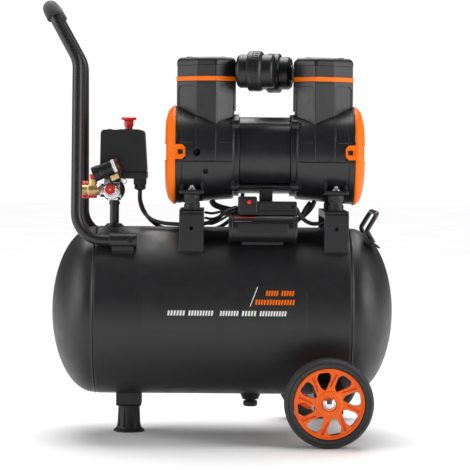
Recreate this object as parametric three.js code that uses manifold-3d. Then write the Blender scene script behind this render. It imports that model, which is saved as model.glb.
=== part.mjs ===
// A portable oil-free air compressor: a horizontal tank on two wheels and a rubber foot, with a
// twin-cylinder pump and motor on rubber mounts, a pressure switch with its valves and gauge, a
// pulling handle and a lifting loop. Millimetres, +Z up, -Y is the front, the floor is Z = 0.
import * as THREE from 'three';
import { mergeVertices } from 'three/addons/utils/BufferGeometryUtils.js';
import Module from 'manifold-3d';

const wasm = await Module();
wasm.setup();

// ---- driving dimensions -------------------------------------------------------------------
const GAP = 0.3; // left between neighbours that touch on the real machine
const TANK_SIDES = 32; // facets round the tank,
const BODY_SIDES = 24; // round the pump, the motor and the wheels,
const SMALL_SIDES = 12; // and round everything else

const TANK_RADIUS = 127;
const TANK_LENGTH = 516;
const TANK_AXIS_Z = 186;
const TANK_WALL = 2.5;
const SEAM_X = 193.5; // weld seams, either side of the tank's centre

const FOOT_X = -141;
const FOOT_HEIGHT = 40;
const FOOT_BRACKET_WIDTH = 38;

const WHEEL_X = 155;
const WHEEL_RADIUS = 65;
const WHEEL_OUTER_Y = 170;
const TYRE_WIDTH = 34;
const RIM_RADIUS = 51.7;
const WHEEL_BOLT_RADIUS = 5.8;
const SPOKES = 8;
const AXLE_BRACKET = { x: [135, 178], halfLength: 130, z: [45, 85] };

const HANDLE_RADIUS = 8.2;
const GRIP_RADIUS = 11.75;
const HANDLE_Y = [82, 58, 50]; // of each leg at its foot, at the kink and at the top
const HANDLE_LEG_X = -217;
const HANDLE_LOW_Z = 295;
const HANDLE_KINK_Z = 560;
const HANDLE_TOP = { x: -261, z: 640 };
const GRIP_LOW_Z = 624; // where the grip ends on each bend
const SOCKET_X = [-168, -128];

const BRACKET_WIDTH = 36;
const BRACKET_HALF_DEPTH = 87;
const BRACKET_TOP_Z = 340;
const BRACKET_X = [-47, 168];
const SHEET = 3; // pressed-steel thickness of the brackets
const MOUNT_Y = 60;
const MOUNT_RADIUS = 11.5;
const PUMP_FOOT_Z = 364.5;

const PUMP_X = 62;
const PUMP_Z = 422;
const CYLINDER_X = 88.7; // from the middle of the motor to each cylinder's axis
const CASE_INNER = 46.5;
const CASE_OUTER = 133.5;
const CASE_RADIUS = [66, 73.5]; // at the motor end and at the fan end
const CASE_WALL = 6;
const COLUMN_HALF = 44.5; // of a cylinder column, across
const COLUMN_TOP = 111;
const PLATE_TOP = 118; // top of the valve plate
const PLATE_LIP = 0.6; // how far the valve plate stands proud of the column
const HEAD_TOP = 147;
const FAN_COVER_RADIUS = 74.7;
const FAN_COVER_DEPTH = 15.5;
const FILTER_TURN = THREE.MathUtils.degToRad(10); // of each intake filter away from the other
const BORE_RADIUS = 26;
const CRANK_THROW = 7.5;
const CRANK_PIN_RADIUS = 4.5;
const SHAFT_RADIUS = 6;
const STATOR_RADIUS = 58;
const STATOR_HALF = 38.3;
const TIE_ROD_OFFSET = 46; // of each tie rod from the motor's axis, across and up

const SWITCH_X = [-186, -116];
const SWITCH_Z = [385.3, 396, 459];
const SWITCH_Y = [-27, 35];
const RISER_X = -165;
const OUTLET_Z = 368;

const DRAIN_X = 44;
const LOOP_ROD = 3.5;

// The handle's grip reaches past the tank on the left, and the origin is under the middle of both.
const GRIP_REACH = -HANDLE_TOP.x + GRIP_RADIUS;
const TANK_X = (GRIP_REACH - TANK_LENGTH / 2) / 2;

// ---- materials ----------------------------------------------------------------------------
const finish = (color, roughness, metalness = 0) =>
  new THREE.MeshStandardMaterial({ color, roughness, metalness });
const MATERIAL = {
  tankPaint: () => finish(0x3a3a3c, 0.38, 0.1),
  steelPaint: () => finish(0x29292b, 0.45, 0.1),
  casing: () => finish(0x2e2e31, 0.5),
  plastic: () => finish(0x19191b, 0.5),
  orange: () => finish(0xff780a, 0.4),
  wheelOrange: () => finish(0xfa5f19, 0.4),
  red: () => finish(0xe12828, 0.35),
  rubber: () => finish(0x1c1c1e, 0.8),
  foam: () => finish(0x1b1b1d, 0.95),
  brass: () => finish(0xd9b25a, 0.3, 1),
  chrome: () => finish(0xd8d8da, 0.15, 1),
  aluminium: () => finish(0xb4b6b8, 0.4, 1),
  steel: () => finish(0x8c8e90, 0.35, 1),
  white: () => finish(0xf2f2ee, 0.5),
};

// ---- shaping helpers ----------------------------------------------------------------------
/** Merges a geometry's vertices, drops its empty triangles and turns its faces outwards. */
function clean(geometry) {
  const bare = geometry.clone();
  for (const name of Object.keys(bare.attributes)) {
    if (name !== 'position') bare.deleteAttribute(name);
  }
  const merged = mergeVertices(bare, 1e-4);
  const position = merged.getAttribute('position');
  const corners = [0, 1, 2].map(() => new THREE.Vector3());
  const kept = [];
  let volume = 0;
  for (let i = 0; i < merged.index.count; i += 3) {
    const face = [0, 1, 2].map((k) => merged.index.getX(i + k));
    if (new Set(face).size < 3) continue;
    kept.push(face);
    face.forEach((vertex, k) => corners[k].fromBufferAttribute(position, vertex));
    volume += corners[0].dot(corners[1].clone().cross(corners[2]));
  }
  const turnedOut = volume < 0 ? kept.map(([a, b, c]) => [a, c, b]) : kept;
  merged.setIndex(turnedOut.flat());
  return merged;
}

/** A manifold-3d solid of a closed geometry. */
function solid(geometry) {
  const closed = clean(geometry);
  return new wasm.Manifold(new wasm.Mesh({
    numProp: 3,
    vertProperties: new Float32Array(closed.getAttribute('position').array),
    triVerts: new Uint32Array(closed.index.array),
  }));
}

/** The three.js geometry of a manifold-3d solid. */
function geometryOf(shape) {
  const mesh = shape.getMesh();
  const geometry = new THREE.BufferGeometry();
  geometry.setAttribute('position', new THREE.BufferAttribute(mesh.vertProperties, 3));
  geometry.setIndex([...mesh.triVerts]);
  return geometry;
}

const join = (...parts) => geometryOf(parts.map(solid).reduce((all, part) => all.add(part)));
const cut = (body, ...tools) =>
  geometryOf(tools.map(solid).reduce((left, tool) => left.subtract(tool), solid(body)));
const overlapOf = (body, tool) => geometryOf(solid(body).intersect(solid(tool)));

/** A box between two limits along each axis. */
function block([x0, x1], [y0, y1], [z0, z1]) {
  return new THREE.BoxGeometry(x1 - x0, y1 - y0, z1 - z0)
    .translate((x0 + x1) / 2, (y0 + y1) / 2, (z0 + z1) / 2);
}

/** A solid of revolution about Z. The profile is [radius, height] pairs, from axis to axis or closed. */
function turned(profile, sides = BODY_SIDES) {
  const points = profile.map(([radius, height]) => new THREE.Vector2(radius, height));
  return new THREE.LatheGeometry(points, sides).rotateX(Math.PI / 2);
}

/** A closed ring of revolution about Z, whose section is the given loop. */
const ring = (section, sides = BODY_SIDES) => turned([...section, section[0]], sides);

/** A round bar about Z between two heights. */
const bar = (radius, [low, high], sides = SMALL_SIDES) =>
  turned([[0, low], [radius, low], [radius, high], [0, high]], sides);

/** A pipe about Z between two heights. */
const pipe = (outer, inner, [low, high], sides = SMALL_SIDES) =>
  ring([[inner, low], [outer, low], [outer, high], [inner, high]], sides);

const alongX = (geometry) => geometry.rotateY(Math.PI / 2); // +Z becomes +X
const towardsFront = (geometry) => geometry.rotateX(Math.PI / 2); // +Z becomes -Y
const towardsRear = (geometry) => geometry.rotateX(-Math.PI / 2); // +Z becomes +Y

/** An outline of [x, y] points extruded up Z between two heights. */
function prism(outline, [low, high]) {
  const shape = new THREE.Shape(outline.map(([x, y]) => new THREE.Vector2(x, y)));
  return new THREE.ExtrudeGeometry(shape, { depth: high - low, bevelEnabled: false })
    .translate(0, 0, low);
}

/** Straight runs joined by round bends, sampled only where it turns. */
class BentLine extends THREE.Curve {
  constructor(points) {
    super();
    this.points = points;
  }

  getPoint(t, target = new THREE.Vector3()) {
    const place = t * (this.points.length - 1);
    const start = Math.min(Math.floor(place), this.points.length - 2);
    return target.lerpVectors(this.points[start], this.points[start + 1], place - start);
  }

  getPointAt(u, target) {
    return this.getPoint(u, target);
  }

  getTangentAt(u, target = new THREE.Vector3()) {
    const last = this.points.length - 1;
    const i = Math.round(u * last);
    const before = this.points[Math.max(i - 1, 0)];
    const here = this.points[i];
    const after = this.points[Math.min(i + 1, last)];
    const arriving = here.clone().sub(before).normalize();
    const leaving = after.clone().sub(here).normalize();
    return target.copy(arriving).add(leaving).normalize();
  }
}

/** The points of a line through the given corners, each rounded to its own radius. */
function bentLine(corners, radii, perBend = 4) {
  const points = [corners[0]];
  for (let i = 1; i < corners.length - 1; i += 1) {
    const arriving = corners[i].clone().sub(corners[i - 1]).normalize();
    const leaving = corners[i + 1].clone().sub(corners[i]).normalize();
    const turn = arriving.angleTo(leaving);
    const setback = radii[i - 1] * Math.tan(turn / 2);
    const inwards = leaving.clone().sub(arriving).normalize();
    const centre = corners[i].clone().addScaledVector(inwards, radii[i - 1] / Math.cos(turn / 2));
    const from = corners[i].clone().addScaledVector(arriving, -setback).sub(centre);
    const axis = arriving.clone().cross(leaving).normalize();
    for (let k = 0; k <= perBend; k += 1) {
      const spoke = from.clone().applyAxisAngle(axis, (turn * k) / perBend);
      points.push(centre.clone().add(spoke));
    }
  }
  points.push(corners.at(-1));
  return new BentLine(points);
}

/** A round section swept along a bent line. */
function sweptBar(line, radius, sides = 10) {
  const shape = new THREE.Shape();
  shape.absarc(0, 0, radius, 0, Math.PI * 2);
  return new THREE.ExtrudeGeometry(shape, {
    steps: line.points.length - 1,
    curveSegments: sides / 2,
    extrudePath: line,
  });
}

/** A cable or hose along a smooth curve through the given points. */
function cable(places, radius, sides = 8) {
  const route = new THREE.CatmullRomCurve3(places.map((place) => new THREE.Vector3(...place)));
  const steps = Math.ceil(route.getLength() / (radius * 5));
  const shape = new THREE.Shape();
  shape.absarc(0, 0, radius, 0, Math.PI * 2);
  return new THREE.ExtrudeGeometry(shape, { steps, curveSegments: sides / 2, extrudePath: route });
}

/** The space that the tank fills, with the gap that its neighbours keep. */
function tankSpace() {
  const profile = [[0, -TANK_LENGTH / 2]];
  for (const [radius, along] of endCurve(TANK_RADIUS + GAP, 0)) profile.push([radius, -along]);
  for (const [radius, along] of endCurve(TANK_RADIUS + GAP, 0).reverse()) {
    profile.push([radius, along]);
  }
  profile.push([0, TANK_LENGTH / 2]);
  return alongX(turned(profile, TANK_SIDES)).translate(0, 0, TANK_AXIS_Z);
}

/** The dished end's curve, [radius, distance from the tank's middle], from its tip to its seam. */
function endCurve(radius, wall) {
  const depth = TANK_LENGTH / 2 - SEAM_X - wall;
  const steps = 6;
  return Array.from({ length: steps }, (_, i) => {
    const angle = ((i + 1) / steps) * (Math.PI / 2);
    return [radius * Math.sin(angle), SEAM_X + depth * Math.cos(angle)];
  });
}

// ---- the scene graph ----------------------------------------------------------------------
const compressor = new THREE.Group();
const chassis = new THREE.Group(); // measured from the tank's middle, and up from the floor
chassis.position.set(TANK_X, 0, 0);
const pump = new THREE.Group(); // measured from the middle of the motor
pump.position.set(PUMP_X, 0, PUMP_Z);
compressor.add(chassis);
chassis.add(pump);

function add(group, name, geometry, material) {
  const mesh = new THREE.Mesh(clean(geometry), material());
  mesh.name = name;
  group.add(mesh);
  return mesh;
}

// ---- tank ---------------------------------------------------------------------------------
function tankShell() {
  const half = SEAM_X - GAP / 2;
  const tube = alongX(pipe(TANK_RADIUS, TANK_RADIUS - TANK_WALL, [-half, half], TANK_SIDES))
    .translate(0, 0, TANK_AXIS_Z);
  const airPort = bar(9, [TANK_AXIS_Z, TANK_AXIS_Z + TANK_RADIUS + 5]).translate(RISER_X, 0, 0);
  const drainPort = bar(6, [TANK_AXIS_Z - TANK_RADIUS - 5, TANK_AXIS_Z]).translate(DRAIN_X, 0, 0);
  return cut(tube, airPort, drainPort);
}

function tankEnd(side) {
  const outer = endCurve(TANK_RADIUS, 0);
  const inner = endCurve(TANK_RADIUS - TANK_WALL, TANK_WALL);
  const section = [[0, TANK_LENGTH / 2], ...outer, ...inner.reverse()];
  section.push([0, TANK_LENGTH / 2 - TANK_WALL]);
  const seamGap = section.map(([radius, along]) => [radius, Math.max(along, SEAM_X + GAP / 2)]);
  return alongX(turned(seamGap, TANK_SIDES)).scale(side, 1, 1).translate(0, 0, TANK_AXIS_Z);
}

// ---- foot and wheels ----------------------------------------------------------------------
function footBracket() {
  const half = FOOT_BRACKET_WIDTH / 2;
  const outer = block([-half, half], [-20, 20], [FOOT_HEIGHT + GAP, 75]);
  const inner = block([-half - 1, half + 1], [-20 + SHEET, 20 - SHEET], [FOOT_HEIGHT + SHEET, 80]);
  return cut(cut(outer, inner).translate(FOOT_X, 0, 0), tankSpace());
}

function rubberFoot() {
  const profile = [[0, 0], [23.5, 0], [23.5, 4], [18, 14], [16.5, FOOT_HEIGHT], [0, FOOT_HEIGHT]];
  return turned(profile, BODY_SIDES).translate(FOOT_X, 0, 0);
}

function axleBracket() {
  const [x0, x1] = AXLE_BRACKET.x;
  const [low, high] = AXLE_BRACKET.z;
  const length = AXLE_BRACKET.halfLength;
  const outer = block([x0, x1], [-length, length], [low, high]);
  const inner = block([x0 + SHEET, x1 - SHEET], [-length + SHEET, length - SHEET],
    [low - 1, high - SHEET]);
  return cut(outer, inner, tankSpace());
}

/** Drawn facing +Z and centred on the wheel, then turned to face the front. */
function tyre() {
  const half = TYRE_WIDTH / 2;
  const bead = RIM_RADIUS + GAP;
  const side = [[bead, half - 3], [bead + 4, half], [WHEEL_RADIUS - 4, half - 1.5],
    [WHEEL_RADIUS - 1, half - 5], [WHEEL_RADIUS, half - 11]];
  const other = side.map(([radius, height]) => [radius, -height]).reverse();
  return ring([...side, ...other], BODY_SIDES);
}

/** One window of the rim: a rounded triangle that leans with the swirl of the spokes. */
function rimWindow(index) {
  const pitch = (2 * Math.PI) / SPOKES;
  const lean = 0.34;
  const edge = [[20, 0.5 - lean * 0.2], [30, 0.28 - lean * 0.5], [41, 0.17 - lean], [45.5, 0.3 - lean],
    [46, 0.62 - lean], [43, 0.82 - lean], [31, 0.74 - lean * 0.5]];
  const outline = edge.map(([radius, share]) => {
    const angle = (index + share) * pitch;
    return [radius * Math.cos(angle), radius * Math.sin(angle)];
  });
  return prism(outline, [-30, 30]);
}

function rim() {
  const half = TYRE_WIDTH / 2 - 3;
  const band = pipe(RIM_RADIUS, RIM_RADIUS - 4, [-half, half], BODY_SIDES);
  const disc = bar(RIM_RADIUS - 2, [half - 9, half - 2], BODY_SIDES);
  const hub = bar(12, [-half, half], SMALL_SIDES);
  const windows = Array.from({ length: SPOKES }, (_, i) => rimWindow(i));
  const bore = bar(WHEEL_BOLT_RADIUS + GAP, [-40, 40], SMALL_SIDES);
  return cut(join(band, disc, hub), ...windows, bore);
}

/** A shoulder bolt from the bracket's end plate, with the cap nut that keeps the wheel on. */
function wheelBolt() {
  const bracketFace = -(WHEEL_OUTER_Y - TYRE_WIDTH / 2 - AXLE_BRACKET.halfLength) + GAP;
  const hubFace = TYRE_WIDTH / 2 - 3 + GAP;
  const shank = WHEEL_BOLT_RADIUS;
  const spacerEnd = -TYRE_WIDTH / 2 + 1;
  return turned([[0, bracketFace], [9, bracketFace], [9, spacerEnd], [shank, spacerEnd],
    [shank, hubFace], [8.5, hubFace], [8.5, hubFace + 4], [6.5, hubFace + 5.6], [0, hubFace + 6]],
  SMALL_SIDES);
}

// ---- handle and lifting loop --------------------------------------------------------------
const point = (x, y, z) => new THREE.Vector3(x, y, z);

/** The handle's centre line, from the front socket over the crossbar to the rear socket. */
function handleLine() {
  const [footY, kinkY, topY] = HANDLE_Y;
  const leg = (side) => [
    point(SOCKET_X[1] - 2, side * footY, HANDLE_LOW_Z),
    point(HANDLE_LEG_X, side * footY, HANDLE_LOW_Z),
    point(HANDLE_LEG_X, side * kinkY, HANDLE_KINK_Z),
    point(HANDLE_TOP.x, side * topY, HANDLE_TOP.z),
  ];
  const corners = [...leg(-1), ...leg(1).reverse()];
  return bentLine(corners, [40, 45, 32, 32, 45, 40]);
}

function handleGrip() {
  const line = handleLine();
  const whole = sweptBar(line, GRIP_RADIUS);
  const above = block([-300, -200], [-120, 120], [GRIP_LOW_Z, 700]);
  return cut(overlapOf(whole, above), sweptBar(line, HANDLE_RADIUS + GAP));
}

function handleSocket(y) {
  const sleeve = alongX(pipe(HANDLE_RADIUS + 2.6, HANDLE_RADIUS + GAP, SOCKET_X, SMALL_SIDES))
    .translate(0, y, HANDLE_LOW_Z);
  const web = block([SOCKET_X[0] + 4, SOCKET_X[1] - 4], [y - 5, y + 5],
    [265, HANDLE_LOW_Z - HANDLE_RADIUS - 1]);
  return cut(join(sleeve, web), tankSpace());
}

function liftingLoop() {
  const leg = (y) => [point(225, y, 293), point(214.5, y, 311), point(230, y, 337)];
  const corners = [...leg(-58), ...leg(58).reverse()];
  const rod = sweptBar(bentLine(corners, [6, 12, 12, 6], 3), LOOP_ROD, 8);
  const foot = (y) => block([212, 234], [y - 9, y + 9], [268, 296.5]);
  const strap = block([221, 225], [-58, 58], [285, 296.5]);
  return cut(join(rod, foot(-58), foot(58), strap), tankSpace());
}

// ---- pump brackets and mounts -------------------------------------------------------------
/** A portal of folded sheet that stands astride the tank. */
function pumpBracket(x) {
  const half = BRACKET_WIDTH / 2;
  const flange = 10;
  const outer = block([-half, half], [-BRACKET_HALF_DEPTH, BRACKET_HALF_DEPTH], [255, BRACKET_TOP_Z]);
  const underside = block([-half - 1, half + 1],
    [-BRACKET_HALF_DEPTH + flange, BRACKET_HALF_DEPTH - flange], [200, BRACKET_TOP_Z - flange]);
  const channel = block([-half + SHEET, half - SHEET],
    [-BRACKET_HALF_DEPTH + SHEET, BRACKET_HALF_DEPTH - SHEET], [200, BRACKET_TOP_Z - SHEET]);
  return cut(cut(outer, underside, channel).translate(x, 0, 0), tankSpace());
}

function rubberMount() {
  const low = BRACKET_TOP_Z + GAP;
  const high = PUMP_FOOT_Z - GAP;
  return turned([[0, low], [MOUNT_RADIUS, low], [MOUNT_RADIUS, low + 8], [MOUNT_RADIUS - 2, (low + high) / 2],
    [MOUNT_RADIUS, high - 8], [MOUNT_RADIUS, high], [0, high]], SMALL_SIDES);
}

// ---- pump: everything here is measured from the middle of the motor ------------------------
/** An outline with each side moved out by the same distance. */
function grown(outline, distance) {
  const corner = (i) => new THREE.Vector2(...outline.at(i % outline.length));
  const along = (i) => corner(i + 1).sub(corner(i)).normalize();
  return outline.map((_, i) => {
    const before = along(i - 1);
    const outwards = before.clone().add(along(i)).normalize()
      .rotateAround(new THREE.Vector2(), -Math.PI / 2);
    const reach = distance / Math.abs(before.cross(outwards));
    const moved = corner(i).addScaledVector(outwards, reach);
    return [moved.x, moved.y];
  });
}

/** Plan of the left cylinder column: eight sided, deepest on the side towards the motor. */
function columnPlan(grow = 0) {
  const front = [[-COLUMN_HALF, -12], [-14.5, -39], [14.5, -50], [COLUMN_HALF, -28]];
  const rear = front.map(([x, y]) => [x, -y]).reverse();
  return grown([...front, ...rear], grow);
}

const column = (grow, heights) => prism(columnPlan(grow), heights);

/** The clips that hold a fan cover, at the front and the back: inner end, depth and height. */
const CLIP = { x: -CASE_OUTER + 14.5, y: [69, 73.6], z: [-6, 16] };

/** The left crankcase. The right one is its mirror image. */
function crankcase(bracketX) {
  const [motorEnd, fanEnd] = CASE_RADIUS;
  const drum = alongX(turned([[0, -CASE_OUTER], [fanEnd, -CASE_OUTER], [motorEnd, -CASE_INNER],
    [0, -CASE_INNER]], BODY_SIDES));
  const tower = column(0, [10, COLUMN_TOP]).translate(-CYLINDER_X, 0, 0);
  const overFlange = block([-CASE_INNER, 0], [-60, 60], [0, motorEnd + 1]);
  const shield = alongX(bar(62, [-CASE_INNER - 1, -STATOR_HALF - GAP], BODY_SIDES));
  const ears = [[-1, -1], [-1, 1], [1, -1], [1, 1]].map(([across, up]) =>
    alongX(bar(8, [-CASE_INNER - 4, -STATOR_HALF - GAP], SMALL_SIDES))
      .translate(0, across * TIE_ROD_OFFSET, up * TIE_ROD_OFFSET));
  const footX = bracketX - PUMP_X;
  const footLow = PUMP_FOOT_Z - PUMP_Z;
  const footPlate = block([footX - 18, footX + 18], [-74, 74], [footLow, footLow + 6]);
  const gusset = (x) => block([x - 2, x + 2], [-58, 58], [footLow, -36]);
  const body = join(cut(tower, overFlange), drum, shield, ...ears, footPlate,
    gusset(footX - 15), gusset(footX + 15));
  const cavity = alongX(turned([[0, -CASE_OUTER - 1], [fanEnd - CASE_WALL - 2, -CASE_OUTER - 1],
    [motorEnd - CASE_WALL, -CASE_INNER - 4], [0, -CASE_INNER - 4]], BODY_SIDES));
  const clipSeat = (side) => block([-CASE_OUTER - 1, CLIP.x + GAP],
    side < 0 ? [-90, GAP - CLIP.y[0]] : [CLIP.y[0] - GAP, 90], [CLIP.z[0] - GAP, CLIP.z[1] + GAP]);
  const bore = bar(BORE_RADIUS, [0, COLUMN_TOP + 1], BODY_SIDES).translate(-CYLINDER_X, 0, 0);
  const shaftHole = alongX(bar(SHAFT_RADIUS + 2, [-60, 0], SMALL_SIDES));
  const statorRecess = alongX(bar(30, [-CASE_INNER + 2, 0], SMALL_SIDES));
  return cut(body, cavity, bore, shaftHole, statorRecess, clipSeat(-1), clipSeat(1));
}

function valvePlate() {
  const port = (x) => bar(7, [0, 200], SMALL_SIDES).translate(x, 0, 0);
  return cut(column(PLATE_LIP, [COLUMN_TOP + GAP, PLATE_TOP]), port(-12), port(12))
    .translate(-CYLINDER_X, 0, 0);
}

function cylinderHead() {
  const rounding = 8;
  const shape = new THREE.Shape(columnPlan(-rounding).map(([x, y]) => new THREE.Vector2(x, y)));
  const blank = new THREE.ExtrudeGeometry(shape, {
    depth: 60, bevelThickness: rounding, bevelSize: rounding, bevelSegments: 2,
  }).translate(0, 0, HEAD_TOP - rounding - 60);
  const above = block([-100, 100], [-100, 100], [PLATE_TOP + GAP, 200]);
  const chamber = block([-24, 24], [-20, 20], [0, PLATE_TOP + 18]);
  return cut(overlapOf(blank, above), chamber).translate(-CYLINDER_X, 0, 0);
}

/**
 * A piston whose rod ends in a yoke, wide enough for the crank pin at every angle of the shaft.
 * Lift is how far it stands above the top of its stroke.
 */
function piston(lift) {
  const reach = CRANK_THROW + CRANK_PIN_RADIUS + GAP;
  const low = lift - reach;
  const high = lift + reach + 2 * CRANK_THROW;
  const yoke = cut(block([-4, 4], [-reach - 4, reach + 4], [low - 4, high + 4]),
    block([-5, 5], [-reach, reach], [low, high]));
  const crownTop = lift + COLUMN_TOP - 1;
  const rod = block([-4, 4], [-6, 6], [high + 2, crownTop - 8]);
  const crown = bar(BORE_RADIUS - GAP, [crownTop - 10, crownTop], BODY_SIDES);
  return join(yoke, rod, crown);
}

/** The shaft with its rotor core, its two cranks at the bottom and a cooling fan at each end. */
function crankshaft() {
  const end = CASE_OUTER + FAN_COVER_DEPTH - 6;
  const core = alongX(bar(34, [-32, 32], BODY_SIDES));
  const crank = (side) => {
    const x = side * CYLINDER_X;
    const web = (low) => alongX(bar(15, [low, low + 5], SMALL_SIDES)).translate(x, 0, 0);
    const pin = alongX(bar(CRANK_PIN_RADIUS, [-8, 8], SMALL_SIDES)).translate(x, 0, -CRANK_THROW);
    return [web(-12), web(7), pin];
  };
  const journal = (from, to) => alongX(bar(SHAFT_RADIUS, [from, to], SMALL_SIDES));
  const outer = CYLINDER_X + 10;
  const inner = CYLINDER_X - 10;
  const blade = (side, i) => block([-4, 4], [-1.2, 1.2], [10, 56])
    .rotateZ(0.5).rotateX((2 * Math.PI * i) / 7).translate(side * (end - 5), 0, 0);
  const fan = (side) => [alongX(bar(14, [-6, 6], SMALL_SIDES)).translate(side * (end - 5), 0, 0),
    ...Array.from({ length: 7 }, (_, i) => blade(side, i))];
  return join(core, journal(-end, -outer), journal(-inner, inner), journal(outer, end),
    ...crank(-1), ...crank(1), ...fan(-1), ...fan(1));
}

const stator = () => alongX(pipe(STATOR_RADIUS, 34.6, [-STATOR_HALF, STATOR_HALF], BODY_SIDES));

/** The left fan cover: a shallow dish with air slots, and clips over the crankcase front and back. */
function fanCover() {
  const rimX = CASE_OUTER + GAP;
  const radius = FAN_COVER_RADIUS;
  const depth = FAN_COVER_DEPTH;
  const wall = 2.6;
  const outer = [[0, depth], [52, depth], [67, depth - 4], [radius, 4], [radius, 0]];
  const inner = [[radius - wall, 0], [radius - wall, 3.4], [65, 9], [51, depth - wall], [0, depth - wall]];
  const dish = turned([...outer, ...inner], BODY_SIDES);
  const slots = Array.from({ length: 8 }, (_, i) => block([22, 50], [-3.2, 3.2], [5, 30])
    .rotateZ((2 * Math.PI * i) / 8 + Math.PI / 8));
  const channel = block([-8, 16], [-80, 80], [depth - 1.5, depth + 1]);
  const shell = cut(dish, ...slots, channel).rotateY(-Math.PI / 2).translate(-rimX, 0, 0);
  const [near, far] = CLIP.y;
  const catchHole = block([-130, -122.5], [-100, 100], [1.5, 8.5]);
  const clip = (side) =>
    cut(block([-rimX - 3, CLIP.x], side < 0 ? [-far, -near] : [near, far], CLIP.z), catchHole);
  return join(shell, clip(-1), clip(1));
}

/** An intake filter, lying along +X from its cylinder head. */
function intakeFilter() {
  return alongX(turned([[0, 0], [12, 0], [12, 2], [22, 2], [25, 6], [25, 18], [30, 20], [30, 37],
    [25, 40], [25, 55], [23, 57], [0, 57]], BODY_SIDES));
}

// ---- capacitor and terminal box -----------------------------------------------------------
const CAPACITOR = { x: [8, 110], y: -78, z: 315, radius: 22 };

function capacitorHousing() {
  const { x, y, z, radius } = CAPACITOR;
  const tube = alongX(bar(radius, x, BODY_SIDES)).translate(0, y, z);
  const inside = alongX(bar(radius - 2.5, [x[0] + 2.5, x[1] - 2.5], SMALL_SIDES)).translate(0, y, z);
  const backSlot = block([x[0] + 2.5, x[1] - 2.5], [y + 12, y + 30], [z - 9, z + 9]);
  const foot = block([x[0] + 20, x[1] - 20], [y - 2, y + 14], [z - radius - 12, z - radius + 5]);
  return cut(join(cut(tube, inside, backSlot), foot), tankSpace());
}

function terminalBox() {
  const low = CAPACITOR.z + CAPACITOR.radius + GAP;
  const tall = block([22, 50], [-89, -57], [low, 361]);
  const wide = block([49, 109], [-85, -58], [low, 354]);
  const hollowTall = block([24.5, 47.5], [-86.5, -59.5], [low - 5, 358.5]);
  const hollowWide = block([47, 106.5], [-82.5, -60.5], [low - 5, 351.5]);
  const buttonHole = towardsFront(bar(3.5, [80, 95], SMALL_SIDES)).translate(38, 0, 353);
  const hanger = block([54, 74], [-62, -40], [low + 4, 351]);
  const strap = block([54, 74], [-44, -40], [low + 4, 373]);
  return cut(join(cut(join(tall, wide), hollowTall, hollowWide), hanger, strap), buttonHole);
}

/** A round button with a collar behind the box's front wall. */
function resetButton() {
  const profile = [[0, 83], [4.6, 83], [4.6, 85.8], [3.1, 85.8], [3.1, 93], [0, 93]];
  return towardsFront(turned(profile, SMALL_SIDES)).translate(38, 0, 353);
}

// ---- pressure switch and its fittings -----------------------------------------------------
function switchCover() {
  const [x0, x1] = SWITCH_X;
  const [, low, high] = SWITCH_Z;
  const [front, rear] = SWITCH_Y;
  const outline = [[x0, low + GAP], [x1, low + GAP], [x1 - 4, high], [x0 + 1, high]];
  const body = prism(outline, [-rear, -front]).rotateX(Math.PI / 2);
  const inside = block([x0 + 3, x1 - 6.5], [front + 2.5, rear - 2.5], [low - 1, high - 2.5]);
  const stemHole = bar(6, [430, 480], SMALL_SIDES).translate(-144, 4, 0);
  return cut(body, inside, stemHole);
}

function switchBase() {
  const [x0, x1] = SWITCH_X;
  const [front, rear] = SWITCH_Y;
  const plate = block([x0 - 0.5, x1 + 0.5], [front - 1, rear + 1], [SWITCH_Z[0], SWITCH_Z[1]]);
  const glandBlock = block([-136, -117], [-6, 14], [376, 386]);
  const glandNut = bar(8.5, [368, 377], 6).translate(-126.5, 4, 0);
  return join(plate, glandBlock, glandNut);
}

const switchKnob = () => turned([[0, 440], [5.6, 440], [5.6, 464], [7, 464.5], [7, 473], [11.5, 474.5],
  [11.5, 477], [9, 478.4], [0, 478.4]], SMALL_SIDES).translate(-144, 4, 0);

/** The pipe that rises from the tank, and the manifold block that it carries. */
function riserManifold() {
  const boss = bar(12, [290, 317], SMALL_SIDES).translate(RISER_X, 0, 0);
  const stem = bar(7, [300, 352], SMALL_SIDES).translate(RISER_X, 0, 0);
  const body = block([-187, -156], [-15, 15], [352, 379]);
  const neck = block([-181, -157], [-9, 9], [378, SWITCH_Z[0] - GAP]);
  const bore = bar(4.5, [280, 370], SMALL_SIDES).translate(RISER_X, 0, 0);
  const valveSeat = towardsFront(bar(10, [14, 29], SMALL_SIDES)).translate(-170, 0, 369);
  return join(cut(join(boss, stem, body), tankSpace(), bore), neck, valveSeat);
}

const COUPLER = { y: 4, z: OUTLET_Z };
const intoOutlet = (geometry, { y, z }) => alongX(geometry).translate(0, y, z);

const couplerBody = () => intoOutlet(
  ring([[5.5, -217], [8, -217], [9, -215], [9, -187 - GAP], [5.5, -187 - GAP]], SMALL_SIDES), COUPLER);

const couplerSleeve = () => intoOutlet(ring([[9 + GAP, -214], [12.3, -214], [13.3, -213],
  [13.3, -193], [12.3, -192], [9 + GAP, -192]], BODY_SIDES), COUPLER);

const OUTLET_COCK_Y = -22;
function outletCock() {
  const body = alongX(bar(6.4, [-213, -187 - GAP], SMALL_SIDES)).translate(0, OUTLET_COCK_Y, OUTLET_Z);
  const elbow = block([-191, -187 - GAP], [OUTLET_COCK_Y - 4, -10], [OUTLET_Z - 5, OUTLET_Z + 5]);
  const neck = bar(5.5, [OUTLET_Z, 384], SMALL_SIDES).translate(-197, OUTLET_COCK_Y, 0);
  const cap = bar(4.3, [383.5, 392], SMALL_SIDES).translate(-197, OUTLET_COCK_Y, 0);
  const bore = alongX(bar(3, [-214, -200], SMALL_SIDES)).translate(0, OUTLET_COCK_Y, OUTLET_Z);
  return cut(join(body, elbow, neck, cap), bore);
}

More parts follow.
